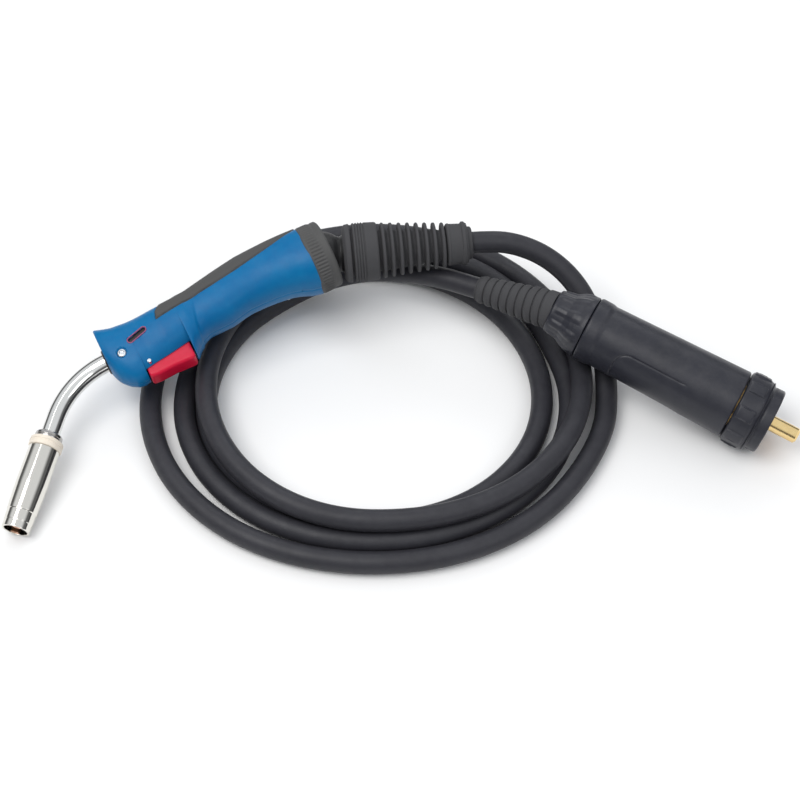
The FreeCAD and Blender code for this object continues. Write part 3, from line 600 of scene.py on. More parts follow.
@dataclass
class Solid:
    """Vertices and faces of one piece, in the millimetres of its working frame."""

    points: list[tuple[float, float, float]] = field(default_factory=list)
    faces: list[tuple[int, ...]] = field(default_factory=list)
    strips: list[tuple[float, float]] = field(default_factory=list)

    def add(self, points: Sequence[Sequence[float]], faces: Sequence[Sequence[int]],
            strips: Optional[Sequence[tuple[float, float]]] = None,
            place: Optional[Matrix] = None) -> "Solid":
        """Add a shape.

        Args:
            points: its vertices.
            faces: its faces, by vertex number.
            strips: a flat place for each vertex, for marks that run round it.
            place: where it goes in the working frame.

        Returns:
            This solid.
        """
        first = len(self.points)
        moved = [place @ Vector(point) for point in points] if place is not None else points
        self.points += [tuple(float(v) for v in point) for point in moved]
        self.faces += [tuple(first + int(v) for v in face) for face in faces]
        self.strips += list(strips) if strips is not None else [(0.0, 0.0)] * len(points)
        return self

    def rings(self, rings: np.ndarray, capped: bool = True, place: Optional[Matrix] = None) -> "Solid":
        """Join a row of closed rings of points into a skin, with a flat cap at each end if capped.

        Args:
            rings: the points of each ring.
            capped: whether the two ends are closed.
            place: where it goes in the working frame.

        Returns:
            This solid.
        """
        count, around = rings.shape[:2]
        faces = [(i * around + j, i * around + (j + 1) % around, (i + 1) * around + (j + 1) % around,
                  (i + 1) * around + j) for i in range(count - 1) for j in range(around)]
        if capped:
            faces += [tuple(range(around))[::-1], tuple((count - 1) * around + j for j in range(around))]
        return self.add(rings.reshape(-1, 3), faces, None, place)

    def make(self, name: str, place: Matrix, sharp: float = 38.0) -> bpy.types.Object:
        """Make the piece.

        Args:
            name: its name.
            place: the working frame.
            sharp: edges that turn more than this many degrees are left sharp.

        Returns:
            The new object, its place in its mesh.
        """
        name += "_skin" if name in frame["nodes"] else ""
        mesh = bpy.data.meshes.new(name)
        mesh.from_pydata([place @ Vector(point) for point in self.points], [], self.faces)
        layer = mesh.uv_layers.new(name="strip")
        for loop in mesh.loops:
            layer.data[loop.index].uv = self.strips[loop.vertex_index]
        work = bmesh.new()
        work.from_mesh(mesh)
        bmesh.ops.remove_doubles(work, verts=work.verts, dist=2e-6)
        bmesh.ops.recalc_face_normals(work, faces=work.faces)
        work.to_mesh(mesh)
        work.free()
        mesh.polygons.foreach_set("use_smooth", [True] * len(mesh.polygons))
        mesh.set_sharp_from_angle(angle=math.radians(sharp))
        piece = bpy.data.objects.new(name, mesh)
        bpy.context.scene.collection.objects.link(piece)
        return piece


@dataclass
class Turned:
    """A piece turned about the X axis of its working frame."""

    outline: Outline
    edge: float = 0.4
    around: int = 96
    spacing: float = 0.0
    swell: Optional[Swell] = None

    def into(self, solid: Solid, place: Optional[Matrix] = None) -> Solid:
        """Add the turned shape to a solid.

        Args:
            solid: what it is added to.
            place: where it goes in the working frame.

        Returns:
            The solid.
        """
        outline = rounded(self.outline, self.edge)
        if self.spacing:
            outline = divided(outline, self.spacing)
        along = np.array([point[0] for point in outline])[:, None]
        radius = np.array([point[1] for point in outline])[:, None]
        angle = np.arange(self.around)[None, :] * 2 * math.pi / self.around
        if self.swell is not None:
            radius = radius + self.swell(along + 0 * angle, angle + 0 * along) * (radius > 1e-6)
        points = np.stack([along + 0 * angle, radius * np.cos(angle), radius * np.sin(angle)], axis=2)
        travel = np.cumsum([0.0] + [math.dist(a, b) for a, b in zip(outline, outline[1:])])
        strips = [(j / self.around, float(run)) for run in travel for j in range(self.around)]
        rows, cols = len(outline), self.around
        faces = [(i * cols + j, i * cols + (j + 1) % cols, ((i + 1) % rows) * cols + (j + 1) % cols,
                  ((i + 1) % rows) * cols + j) for i in range(rows) for j in range(cols)]
        return solid.add(points.reshape(-1, 3), faces, strips, place)


def turned(name: str, outline: Outline, place: Matrix, finish: Finish, body: str,
           replaced: Sequence[str] = (), **options: object) -> bpy.types.Object:
    """Make a turned piece, dress it and let it ride.

    Args:
        name: the piece's name.
        outline: its closed outline of (along, radius).
        place: its working frame.
        finish: what it is made of.
        body: the CAD body it moves with.
        replaced: CAD nodes that it stands for.
        options: other values of Turned.

    Returns:
        The piece.
    """
    piece = Turned(outline, **options).into(Solid()).make(name, place)
    return settle(piece, finish, body, replaced)


def settle(piece: bpy.types.Object, finish: Finish, body: str,
           replaced: Sequence[str] = ()) -> bpy.types.Object:
    """Dress a piece, let it ride on a body and hide what it stands for.

    Args:
        piece: the piece.
        finish: what it is made of.
        body: the CAD body it moves with.
        replaced: CAD nodes that it stands for.

    Returns:
        The piece.
    """
    finish.dress(piece)
    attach(piece, body)
    if replaced:
        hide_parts(*replaced)
    LOG.info("made %s on %s", piece.name, body)
    return piece


# ------------------------------------------------------------------------------- studio
@dataclass(frozen=True)
class Lamp:
    """A soft rectangular lamp."""

    name: str
    spot: tuple[float, float, float]
    size: tuple[float, float]
    power: float
    tone: Colour = (1.0, 1.0, 1.0)

    def make(self, aim: Vector) -> None:
        """Make the lamp.

        Args:
            aim: what it looks at.
        """
        data = bpy.data.lights.new(self.name, "AREA")
        data.shape = "RECTANGLE"
        data.size, data.size_y = self.size
        data.energy = self.power
        data.color = self.tone
        lamp = bpy.data.objects.new(self.name, data)
        lamp.location = self.spot
        lamp.rotation_euler = (aim - Vector(self.spot)).to_track_quat("-Z", "Y").to_euler()
        bpy.context.scene.collection.objects.link(lamp)


@dataclass
class Studio:
    """Pale floor, soft lights and the camera."""

    aim: tuple[float, float, float] = (0.0973, 0.0086, 0.0)
    distance: float = 1.2
    elevation: float = 52.0
    lens: float = 83.7
    floor_size: float = 9.0
    floor_tone: Colour = (0.93, 0.93, 0.93)
    sky_edge: tuple[float, float] = (0.34, 0.62)
    sky_power: tuple[float, float] = (0.14, 0.86)
    sky_tone: Colour = (0.95, 0.97, 1.0)
    # the least strength of the sky where the camera looks straight at it
    backdrop: float = 0.8
    lamps: tuple[Lamp, ...] = (Lamp("key", (-0.5, -0.35, 1.5), (1.1, 0.9), 13.0, (1.0, 0.985, 0.96)),
                               Lamp("fill", (1.1, -0.9, 1.1), (0.8, 0.8), 3.0),
                               Lamp("back", (0.3, 1.3, 0.9), (1.4, 0.5), 4.0, (0.96, 0.98, 1.0)))

    def camera(self) -> None:
        """Make the camera at its viewing angle."""
        data = bpy.data.cameras.new("camera")
        data.lens = self.lens
        data.sensor_width = 36.0
        eye = bpy.data.objects.new("camera", data)
        rise = math.radians(self.elevation)
        back = Vector((0, -math.cos(rise), math.sin(rise)))
        eye.location = Vector(self.aim) + back * self.distance
        eye.rotation_euler = (-back).to_track_quat("-Z", "Y").to_euler()
        bpy.context.scene.collection.objects.link(eye)
        bpy.context.scene.camera = eye

    def floor(self) -> None:
        """Make the plain floor."""
        half = self.floor_size / 2
        mesh = bpy.data.meshes.new("floor")
        corners = [(-half, -half, 0), (half, -half, 0), (half, half, 0), (-half, half, 0)]
        mesh.from_pydata(corners, [], [(0, 1, 2, 3)])
        ground = bpy.data.objects.new("floor", mesh)
        bpy.context.scene.collection.objects.link(ground)
        made = bpy.data.materials.new("floor")
        made.use_nodes = True
        shader = made.node_tree.nodes["Principled BSDF"]
        shader.inputs["Base Color"].default_value = (*self.floor_tone, 1.0)
        shader.inputs["Roughness"].default_value = 0.9
        shader.inputs["Specular IOR Level"].default_value = 0.1
        mesh.materials.append(made)

    def light(self) -> None:
        """Make the sky and the lamps."""
        world = bpy.data.worlds.new("studio")
        world.use_nodes = True
        w = Wiring(world.node_tree)
        sky = world.node_tree.nodes["Background"]
        sky.inputs["Color"].default_value = (*self.sky_tone, 1.0)
        way = w.add("ShaderNodeTexCoord").outputs["Generated"]
        split = w.add("ShaderNodeSeparateXYZ")
        w.feed(split.inputs["Vector"], way)
        seen = w.add("ShaderNodeLightPath").outputs["Is Camera Ray"]
        glow = w.span(split.outputs["Z"], *self.sky_edge, *self.sky_power)
        w.feed(sky.inputs["Strength"], w.sum("MAXIMUM", glow, w.sum("MULTIPLY", seen, self.backdrop)))
        bpy.context.scene.world = world
        bpy.context.scene.view_settings.view_transform = "Standard"
        for lamp in self.lamps:
            lamp.make(Vector(self.aim))


# ------------------------------------------------------------------------------- lead
@dataclass
class Lead:
    """The free lead from the cable support round its loose turns to the strain relief."""

    radius: float = 7.0
    centre: tuple[float, float] = (81.3, 3.55)
    start: float = 24.0
    step: float = 15.0
    length: float = 3.1
    # places along the support and the strain relief
    exit_at: float = 97.0
    out_of_support: tuple[float, float] = (94.0, 103.0)
    into_relief: tuple[float, float] = (60.0, 48.0)
    # from the support down to the floor, about the coil's centre
    way_in: tuple[tuple[float, float, float], ...] = (
        (88, 87, 61), (111, 82, 53.5), (130, 69.5, 42), (142, 51, 28), (148, 27.5, 15.5), (148.5, 2, 10),
        (145.5, -24, 7.5))
    # from the last turn up to the strain relief
    way_out: tuple[tuple[float, float, float], ...] = (
        (-57.5, 86.5, 9), (-34, 94, 16.5), (-8, 93, 26.5), (18, 85, 35), (43, 74, 41.5))
    # turned angle, radius and height along the turns
    turns: tuple[tuple[float, float, float], ...] = (
        (0, 145, 8), (90, 125, 7), (180, 145, 7), (270, 146, 7), (315, 143, 7), (337, 138, 12),
        (348, 134.5, 15), (360, 133, 19.5), (450, 103, 19.5), (540, 108, 21), (585, 113, 19.3),
        (601, 119, 21), (618, 122, 19), (630, 124, 17), (675, 128, 9), (697, 124, 7),
        (720, 126, 7), (810, 110, 7), (900, 123, 7), (945, 120, 7), (961, 116, 7), (978, 114.5, 7),
        (990, 114, 7), (1035, 110, 7), (1057, 109, 7),
        (1080, 108, 7), (1170, 96, 7), (1260, 109, 7), (1305, 106, 7.5))
    plug_nodes: tuple[str, ...] = ("relief_lead", "cable_crimp", "plug_core", "contact_sleeves", "main_pin",
                                   "contact_pin_upper", "contact_pin_lower", "nut_thread")

    def route(self) -> list[Vector]:
        """Control points of the lead's line, in metres.

        Returns:
            The points, from the support to the strain relief.
        """
        centre = Vector((self.centre[0], self.centre[1], 0))
        points = [SUPPORT @ Vector((along, 0, 0)) for along in self.out_of_support]
        points += [(centre + Vector(point)) * MM for point in self.way_in]
        angles, radii, heights = (np.array(column, float) for column in zip(*self.turns))
        angle = self.start
        while angle <= angles[-1]:
            radius = self.between(angle, angles, radii)
            height = self.between(angle, angles, heights)
            turn = math.radians(angle)
            spot = centre + Vector((radius * math.cos(turn), -radius * math.sin(turn), height))
            points.append(spot * MM)
            angle += self.step
        points += [(centre + Vector(point)) * MM for point in self.way_out]
        points += [RELIEF @ Vector((along, 0, 0)) for along in self.into_relief]
        return points

    @staticmethod
    def between(angle: float, angles: np.ndarray, values: np.ndarray) -> float:
        """Smooth value between the set ones, with no overshoot.

        Args:
            angle: where it is wanted.
            angles: where the values are set.
            values: the set values.

        Returns:
            The value there.
        """
        rise = np.diff(values) / np.diff(angles)
        slope = np.zeros_like(values)
        inner = rise[:-1] * rise[1:] > 0
        slope[1:-1][inner] = 2 * (rise[:-1] * rise[1:])[inner] / (rise[:-1] + rise[1:])[inner]
        k = int(np.clip(np.searchsorted(angles, angle, side="right") - 1, 0, len(angles) - 2))
        gap = angles[k + 1] - angles[k]
        t = (angle - angles[k]) / gap
        return float((2 * t ** 3 - 3 * t ** 2 + 1) * values[k] + (t ** 3 - 2 * t ** 2 + t) * gap * slope[k]
                     + (3 * t ** 2 - 2 * t ** 3) * values[k + 1] + (t ** 3 - t ** 2) * gap * slope[k + 1])

    def build(self) -> bpy.types.Object:
        """Make the lead as one round line and let it ride on the lead body.

        Returns:
            The lead.
        """
        line = bpy.data.curves.new("lead", "CURVE")
        line.dimensions = "3D"
        line.bevel_depth = self.radius * MM
        line.bevel_resolution = 7
        line.resolution_u = 8
        line.use_fill_caps = True
        route = self.route()
        spline = line.splines.new("NURBS")
        spline.points.add(len(route) - 1)
        for point, spot in zip(spline.points, route):
            point.co = (*spot, 1.0)
        spline.order_u = 3
        spline.use_endpoint_u = True
        lead = bpy.data.objects.new("lead", line)
        bpy.context.scene.collection.objects.link(lead)
        settle(lead, LEAD_RUBBER, "lead", ("lead_in", "lead_out", "lead_coil"))
        return lead


# ------------------------------------------------------------------------------- nozzle end
@dataclass
class NozzleEnd:
    """Gas nozzle, insulator, neck collar and the neck itself."""

    step: float = 6.5
    length: float = 55.0
    radius: float = 10.0
    mouth: float = 9.0

    def build(self) -> None:
        """Make the turned skins; the neck and the pieces inside are CAD nodes."""
        end = self.step + self.length
        turned("gas_nozzle", [(self.step, 8.2), (self.step, self.radius - 0.3), (self.step + 24, self.radius),
                              (end - 12, self.mouth + 0.45), (end - 11.5, self.mouth + 0.1),
                              (end - 5, self.mouth), (end - 4.6, self.mouth - 0.2), (end, self.mouth - 0.25),
                              (end, self.mouth - 1.7), (end - 4, self.mouth - 1.8), (self.step + 26, 8.15)],
               NOZZLE, NICKEL, "handle", ("gas_nozzle",), edge=0.5, around=128)
        turned("nozzle_insulator", [(0.1, 6.02), (0.1, 9.4), (0.9, 10.4), (2.6, 10.6), (3.0, 10.2),
                                    (3.5, 10.2), (3.9, 10.6), (6.0, 10.5), (self.step, 10.1),
                                    (self.step, 8.1), (16.5, 8.1), (16.5, 6.5), (6.1, 6.5), (6.1, 6.02)],
               NOZZLE, CERAMIC, "handle", ("nozzle_insulator",), edge=0.35, around=128)
        turned("neck_collar", [(-4.0, 6.02), (-4.0, 7.6), (-3.2, 8.6), (-1.6, 8.7), (-1.3, 8.3), (-0.9, 8.3),
                               (-0.6, 8.7), (0.0, 8.6), (0.0, 6.02)],
               NOZZLE, DARK_CHROME, "handle", ("neck_collar",), edge=0.25, around=128)


# ------------------------------------------------------------------------------- handle
@dataclass
class Handle:
    """Two shells, the rubber insert, the rear ring and the small pieces let into them."""

    pitch: float = 0.55
    around: int = 110
    rear: float = 9.4
    front: float = 152.6
    squareness: float = 2.3
    back: Outline = ((6, -22.0), (10, -21.9), (18, -22.7), (27.7, -23.2), (40, -22.9), (51.6, -22.3),
                     (64, -20.2), (76.9, -17.6), (88, -15.4), (99.7, -13.6), (110, -13.0), (120, -12.5),
                     (131.4, -12.5), (142.2, -13.9), (149, -16.2), (152.6, -18.0))
    trigger_side: Outline = ((6, 22), (10, 21.8), (15.9, 20.4), (22, 17.7), (28.8, 15.8), (38, 14.7),
                             (46, 14.4), (56, 14.3), (63, 15.6), (70.4, 17.5), (78, 17.7), (86.4, 17.9),
                             (91, 20.3), (95.3, 23.2), (98, 27.0), (99.9, 28.8))
    pocket_side: Outline = ((99.9, 20.6), (116, 24.2), (129.4, 27.0), (132.8, 27.6))
    nose_side: Outline = ((132.8, 29.4), (136, 30.3), (140.6, 29.8), (145, 27.0), (148.8, 22.8),
                          (151.2, 18.4), (152.6, 13.2))
    middle: Outline = ((6, 0), (10, 0), (27, -3.4), (48, -3.9), (68, -1.5), (85, 0), (98, 1), (115, 2.5),
                       (133, 4.6), (143, 4.0), (152.6, -1.5))
    half_width: Outline = ((6, 21.9), (10, 21.7), (18, 20.4), (27, 18.8), (48, 17.4), (68, 17.0), (82, 16.4),
                           (90, 15.5), (92.5, 15.9), (95, 16.7), (112, 17.0), (119, 16.4), (126, 15.3),
                           (134, 15.4), (143, 15.0), (149, 14.3), (152.6, 13.3))
    insert: Outline = ((9, -17.6), (32, -12), (57, -7), (82, -3.4), (100, -0.9), (114.0, 1.4), (112.4, -5.5),
                       (108.4, -11.5), (107.4, -40), (9, -40))
    crease: Outline = ((87.0, -9), (88.5, 0), (91.8, 13), (93.6, 25.4), (94.0, 40))
    slot_ends: Outline = ((133.6, 6.6), (123.8, 3.7))
    slot_radius: float = 1.9
    boss: tuple[float, float] = (141.8, 11.5)
    boss_radius: float = 3.3
    screws: Outline = ((30.0, 8.5), (141.8, 15.5))
    screw_radius: float = 3.0
    socket_radius: float = 17.7
    socket_depth: float = 22.0
    # the trigger's pocket, from low to high along each axis
    pocket: tuple[tuple[float, float], ...] = ((99.92, 132.78), (9.0, 60.0), (-7.1, 7.1))
    ring_teeth: int = 60
    lip: float = 1.1

    def curve(self, points: Outline, x: np.ndarray, blur: float = 2.6) -> np.ndarray:
        """A smooth line through set points.

        Args:
            points: (x, value) of each.
            x: where it is wanted.
            blur: how far each place is averaged.

        Returns:
            The value at each x.
        """
        set_x, value = (np.array(column, float) for column in zip(*points))
        shifts = np.linspace(-1, 1, 9)
        weights = np.exp(-2 * shifts ** 2)
        parts = [w * np.interp(np.clip(x + s * blur, set_x[0], set_x[-1]), set_x, value)
                 for s, w in zip(shifts, weights)]
        return sum(parts) / weights.sum()

    def edges(self, x: np.ndarray) -> tuple[np.ndarray, ...]:
        """Trigger side, back, middle and half width of the handle at each x.

        Args:
            x: places along the handle.

        Returns:
            The four values at each place.
        """
        outer = np.where(x < self.trigger_side[-1][0], self.curve(self.trigger_side, x, 1.8),
                         np.where(x < self.pocket_side[-1][0], self.curve(self.pocket_side, x),
                                  self.curve(self.nose_side, x, 1.2)))
        back, middle = self.curve(self.back, x), self.curve(self.middle, x)
        return outer, back, middle, self.curve(self.half_width, x, 1.2)

    def skin(self, x: np.ndarray, turn: np.ndarray) -> np.ndarray:
        """Plain surface of the upper half, at each x and each turn from the trigger side over to the back.

        Args:
            x: places along the handle.
            turn: angles round it.

        Returns:
            The points, one row for each place.
        """
        outer, back, middle, width = (value[:, None] for value in self.edges(x))
        cos, sin = np.cos(turn)[None, :], np.sin(turn)[None, :]
        power = 2 / self.squareness
        reach = np.where(cos > 0, outer - middle, middle - back)
        y = middle + reach * np.sign(cos) * np.abs(cos) ** power
        z = width * np.abs(sin) ** power
        return np.stack([x[:, None] + 0 * y, y, z], axis=2)

    def height_at(self, x: float, y: float) -> float:
        """Height of the plain surface over a place on the middle plane.

        Args:
            x: place along the handle.
            y: place across it.

        Returns:
            The height.
        """
        outer, back, middle, width = (float(value[0]) for value in self.edges(np.array([x])))
        reach = outer - middle if y > middle else middle - back
        share = min(1.0, abs(y - middle) / reach)
        return width * (1 - share ** self.squareness) ** (1 / self.squareness)

    @staticmethod
    def inside(x: np.ndarray, y: np.ndarray, corners: Outline) -> np.ndarray:
        """Distance to an outline in the middle plane, above zero inside it.

        Args:
            x: places along the handle.
            y: places across it.
            corners: the outline.

        Returns:
            The distance at each place.
        """
        nearest = np.full(x.shape, 1e9)
        within = np.zeros(x.shape, bool)
        for (ax, ay), (bx, by) in zip(corners, list(corners[1:]) + [corners[0]]):
            dx, dy = bx - ax, by - ay
            t = np.clip(((x - ax) * dx + (y - ay) * dy) / (dx * dx + dy * dy), 0, 1)
            nearest = np.minimum(nearest, np.hypot(x - ax - t * dx, y - ay - t * dy))
            if dy:
                crosses = ((ay > y) != (by > y)) & (x < dx * (y - ay) / dy + ax)
                within ^= crosses
        return np.where(within, nearest, -nearest)

    def capsule(self, x: np.ndarray, y: np.ndarray) -> np.ndarray:
        """Distance from the middle line of the long slot.

        Args:
            x: places along the handle.
            y: places across it.

        Returns:
            The distance at each place.
        """
        (ax, ay), (bx, by) = self.slot_ends
        dx, dy = bx - ax, by - ay
        t = np.clip(((x - ax) * dx + (y - ay) * dy) / (dx * dx + dy * dy), 0, 1)
        return np.hypot(x - ax - t * dx, y - ay - t * dy)

    def relief(self, points: np.ndarray, upper: bool) -> np.ndarray:
        """How far the shell stands out of its plain surface at each point.

        Args:
            points: the plain surface.
            upper: whether it is the upper shell.

        Returns:
            The height at each point.
        """
        x, y, z = points[..., 0], points[..., 1], points[..., 2]
        cover = self.inside(x, y, self.insert)
        out = -0.55 * eased(cover, -0.55, 0.0) - 1.1 * eased(cover, 0.0, 0.7)
        past = x - np.interp(y, [point[1] for point in self.crease], [point[0] for point in self.crease])
        lift = eased(past, -1.2, 1.0) * np.clip(1 - past / 30.0, 0, 1) * eased(y, -6.0, 4.0)
        out += 0.85 * lift * (cover < 0)
        out -= 0.3 * (1 - eased(z, 0.15, 0.55))
        if upper:
            slot = self.capsule(x, y)
            out += 0.25 * (1 - eased(np.abs(slot - self.slot_radius - 0.9), 0.0, 0.9))
            out -= 1.5 * (1 - eased(slot, self.slot_radius - 0.35, self.slot_radius + 0.35))
            ring = np.hypot(x - self.boss[0], y - self.boss[1])
            out -= 1.2 * (1 - eased(ring, self.boss_radius - 0.3, self.boss_radius + 0.3))
        else:
            for spot in self.screws:
                ring = np.hypot(x - spot[0], y - spot[1])
                out -= 1.7 * (1 - eased(ring, self.screw_radius, self.screw_radius + 0.5))
        return out

    def stations(self) -> np.ndarray:
        """Places along the handle, closer together at its steps and at its front edge.

        Returns:
            The places, in order.
        """
        x = np.arange(self.rear, self.front - 1.2, self.pitch)
        extra = [99.86, 99.94, 132.76, 132.84, *(self.front - np.array([1.1, 0.8, 0.5, 0.25, 0.1, 0.0]))]
        return np.unique(np.concatenate([x, extra]))

    def half(self, upper: bool) -> tuple[np.ndarray, np.ndarray]:
        """Plain surface points of one half and the way out of it at each.

        Args:
            upper: whether it is the upper half; not used.

        Returns:
            The points and the ways out.
        """
        x = self.stations()
        turn = np.linspace(0, math.pi, self.around)
        points = self.skin(x, turn)
        along = np.gradient(points, axis=0)
        across = np.gradient(points, axis=1)
        normal = np.cross(across, along)
        size = np.linalg.norm(normal, axis=2, keepdims=True)
        normal = normal / np.maximum(size, 1e-9)
        centre = np.stack([0 * x, self.edges(x)[2], 0 * x], axis=1)[:, None, :]
        flip = np.sum(normal * (points - centre) * [0, 1, 1], axis=2, keepdims=True) < 0
        normal = np.where(flip, -normal, normal)
        steep = np.abs(normal[..., 0:1]) > 0.6
        flat = (points - centre) * [0, 1, 1]
        flat = flat / np.maximum(np.linalg.norm(flat, axis=2, keepdims=True), 1e-9)
        return points, np.where(steep, flat, normal)

    def shell(self, name: str, upper: bool) -> bpy.types.Object:
        """Make one shell with its trigger pocket.

        Args:
            name: the shell's name.
            upper: whether it is the upper shell.

        Returns:
            The shell.
        """
        points, normal = self.half(upper)
        points = points + normal * self.relief(points, upper)[..., None]
        edge = eased(points[:, :1, 0] * -1, -self.front, -self.front + self.lip)[..., None]
        centre = np.array([0, 1.5, 0])
        shrunk = centre + (points - centre) * [1, 0.955, 0.95]
        near_front = points[..., 0:1] > self.front - self.lip - 0.05
        points = np.where(near_front, shrunk + (points - shrunk) * np.sqrt(edge), points)
        points[:, [0, -1], 2] = 0.0
        points[..., 2] = np.maximum(points[..., 2], 0.0)
        if not upper:
            points = points * [1, 1, -1]
        piece = Solid().rings(points).make(name, TORCH, sharp=32)
        (start, end), (low, high), (left, right) = self.pocket
        circle = [(self.socket_radius * math.cos(t), self.socket_radius * math.sin(t))
                  for t in np.linspace(0.02, 0.02 + 2 * math.pi, 97)[:-1]]
        corners = [(low, left), (high, left), (high, right), (low, right)]
        cutters = [self.cutter("pocket", (start, end), corners),
                   self.cutter("socket", (0.0, self.socket_depth), circle)]
        for cutter in cutters:
            cut = piece.modifiers.new(cutter.name, "BOOLEAN")
            cut.operation, cut.solver, cut.object = "DIFFERENCE", "EXACT", cutter
        self.bake(piece)
        for cutter in cutters:
            bpy.data.objects.remove(cutter)
        return settle(piece, HANDLE_BLUE, "handle", (name,))

    @staticmethod
    def cutter(name: str, span: tuple[float, float], section: Outline) -> bpy.types.Object:
        """Make a straight cutting block in the torch frame.

        Args:
            name: its name.
            span: where it starts and ends along the handle.
            section: its outline of (across, up).

        Returns:
            The block.
        """
        rings = np.array([[(at, across, up) for across, up in section] for at in span])
        return Solid().rings(rings).make(name, TORCH)

    @staticmethod
    def bake(piece: bpy.types.Object) -> None:
        """Apply a piece's modifiers to its mesh.

        Args:
            piece: the piece.
        """
        graph = bpy.context.evaluated_depsgraph_get()
        mesh = bpy.data.meshes.new_from_object(piece.evaluated_get(graph))
        piece.modifiers.clear()
        piece.data = mesh
        mesh.polygons.foreach_set("use_smooth", [True] * len(mesh.polygons))
        mesh.set_sharp_from_angle(angle=math.radians(32))

    def grip(self) -> bpy.types.Object:
        """Make the rubber insert that is let into the back of both shells.

        Returns:
            The insert.
        """
        solid = Solid()
        for upper in (True, False):
            points, normal = self.half(upper)
            cover = self.inside(points[..., 0], points[..., 1], self.insert)
            lift = -0.75 + 1.25 * eased(cover, -0.1, 1.1) - 0.2 * (1 - eased(points[..., 2], 0.1, 0.5))
            rise = points + normal * lift[..., None]
            under = points - normal * 1.5
            side = np.array([1, 1, 1 if upper else -1])
            keep = cover > -0.45
            rows, cols = keep.shape
            quads = [(i * cols + j, i * cols + j + 1, (i + 1) * cols + j + 1, (i + 1) * cols + j)
                     for i in range(rows - 1) for j in range(cols - 1)
                     if keep[i, j] and keep[i, j + 1] and keep[i + 1, j + 1] and keep[i + 1, j]]
            total = rows * cols
            edges: dict[tuple[int, int], int] = {}
            for quad in quads:
                for a, b in zip(quad, quad[1:] + quad[:1]):
                    edges[(a, b)] = edges.get((a, b), 0) + 1
            walls = [(b, a, a + total, b + total) for a, b in edges if (b, a) not in edges]
            faces = quads + [tuple(v + total for v in quad[::-1]) for quad in quads] + walls
            both = np.concatenate([rise.reshape(-1, 3), under.reshape(-1, 3)]) * side
            used = sorted({v for face in faces for v in face})
            number = {v: k for k, v in enumerate(used)}
            solid.add(both[used], [tuple(number[v] for v in face) for face in faces])
        piece = solid.make("grip_insert", TORCH, sharp=40)
        return settle(piece, GRIP, "handle", ("grip_insert",))

    def ring(self) -> None:
        """Make the fine-toothed ring that holds the ball joint."""
        def teeth(along: np.ndarray, angle: np.ndarray) -> np.ndarray:
            """Fine teeth round the ring and the groove behind them.

            Args:
                along: place along the axis.
                angle: place round it.

            Returns:
                How far the surface stands out.
            """
            tooth = np.cos(angle * self.ring_teeth)
            zone = eased(along, 0.6, 1.4) * (1 - eased(along, 7.6, 8.4))
            groove = np.exp(-((along + 0.6) / 0.45) ** 2)
            return 0.32 * tooth * zone * (along > -4) - 0.45 * groove
        turned("rear_ring", [(-5, 16.7), (-5, 20.9), (-3.8, 22.2), (8.6, 22.5), (10.0, 21.9), (10.0, 14.2),
                             (5.0, 16.6), (0.0, 17.35)],
               TORCH, RING_PLASTIC, "handle", ("rear_ring",), edge=0.7, around=480, spacing=0.7, swell=teeth)

    def screws_in(self) -> None:
        """Make the screw of the upper shell and those of the lower one."""
        solid = Solid()
        spots = [(*self.boss, 1, 1.0)] + [(*spot, -1, 1.4) for spot in self.screws]
        for x, y, side, sunk in spots:
            z = side * (self.height_at(x, y) - sunk)
            tilt = Matrix.Translation((x, y, z)) @ Matrix.Rotation(-side * math.pi / 2, 4, "Y")
            radius = self.boss_radius - 0.35 if side > 0 else self.screw_radius - 0.25
            head = [(-2.0, 0), (-2.0, radius), (0.2, radius), (0.75, radius - 0.6), (0.8, 1.6), (0.1, 1.45),
                    (0.1, 0)]
            Turned(head, edge=0.25, around=48).into(solid, tilt)
        settle(solid.make("shell_screws", TORCH), STEEL, "handle", ("shell_screws",))

    def round_slot(self, radius: float, count: int) -> list[tuple[Vector, Vector]]:
        """Places round the long slot.

        Args:
            radius: their distance from its middle line.
            count: how many there are.

        Returns:
            Each place on the middle plane, with the way out of the slot there.
        """
        (ax, ay), (bx, by) = self.slot_ends
        heading = Vector((bx - ax, by - ay, 0)).normalized()
        side = Vector((-heading.y, heading.x, 0))
        made = []
        for k in range(count):
            turn = 2 * math.pi * k / count
            end = Vector((bx, by, 0)) if math.cos(turn) > 0 else Vector((ax, ay, 0))
            out = heading * math.cos(turn) + side * math.sin(turn)
            made.append((end + out * radius, out))
        return made

    def slot(self) -> None:
        """Make the slot's inlay and its rim."""
        edge = self.slot_radius + 0.05
        loops = []
        for radius, drop in ((edge, 1.5), (self.slot_radius - 0.1, 1.1), (1.2, 0.95), (0.5, 0.9)):
            loops.append([(spot.x, spot.y, self.height_at(spot.x, spot.y) - drop)
                          for spot, _ in self.round_slot(radius, 40)])
        inlay = Solid().rings(np.array(loops)).make("side_inlay", TORCH)
        settle(inlay, DARK_INSIDE, "handle", ("side_inlay",))
        rings = []
        for spot, out in self.round_slot(edge, 96):
            middle = Vector((spot.x, spot.y, self.height_at(spot.x, spot.y) + 0.05))
            rings.append([tuple(middle + (out * math.cos(a) + Vector((0, 0, 1)) * math.sin(a)) * 0.42)
                          for a in np.linspace(0, 2 * math.pi, 9)[:-1]])
        rings.append(rings[0])
        rim = Solid().rings(np.array(rings), capped=False).make("slot_rim", TORCH)
        settle(rim, SLOT_RIM, "handle")

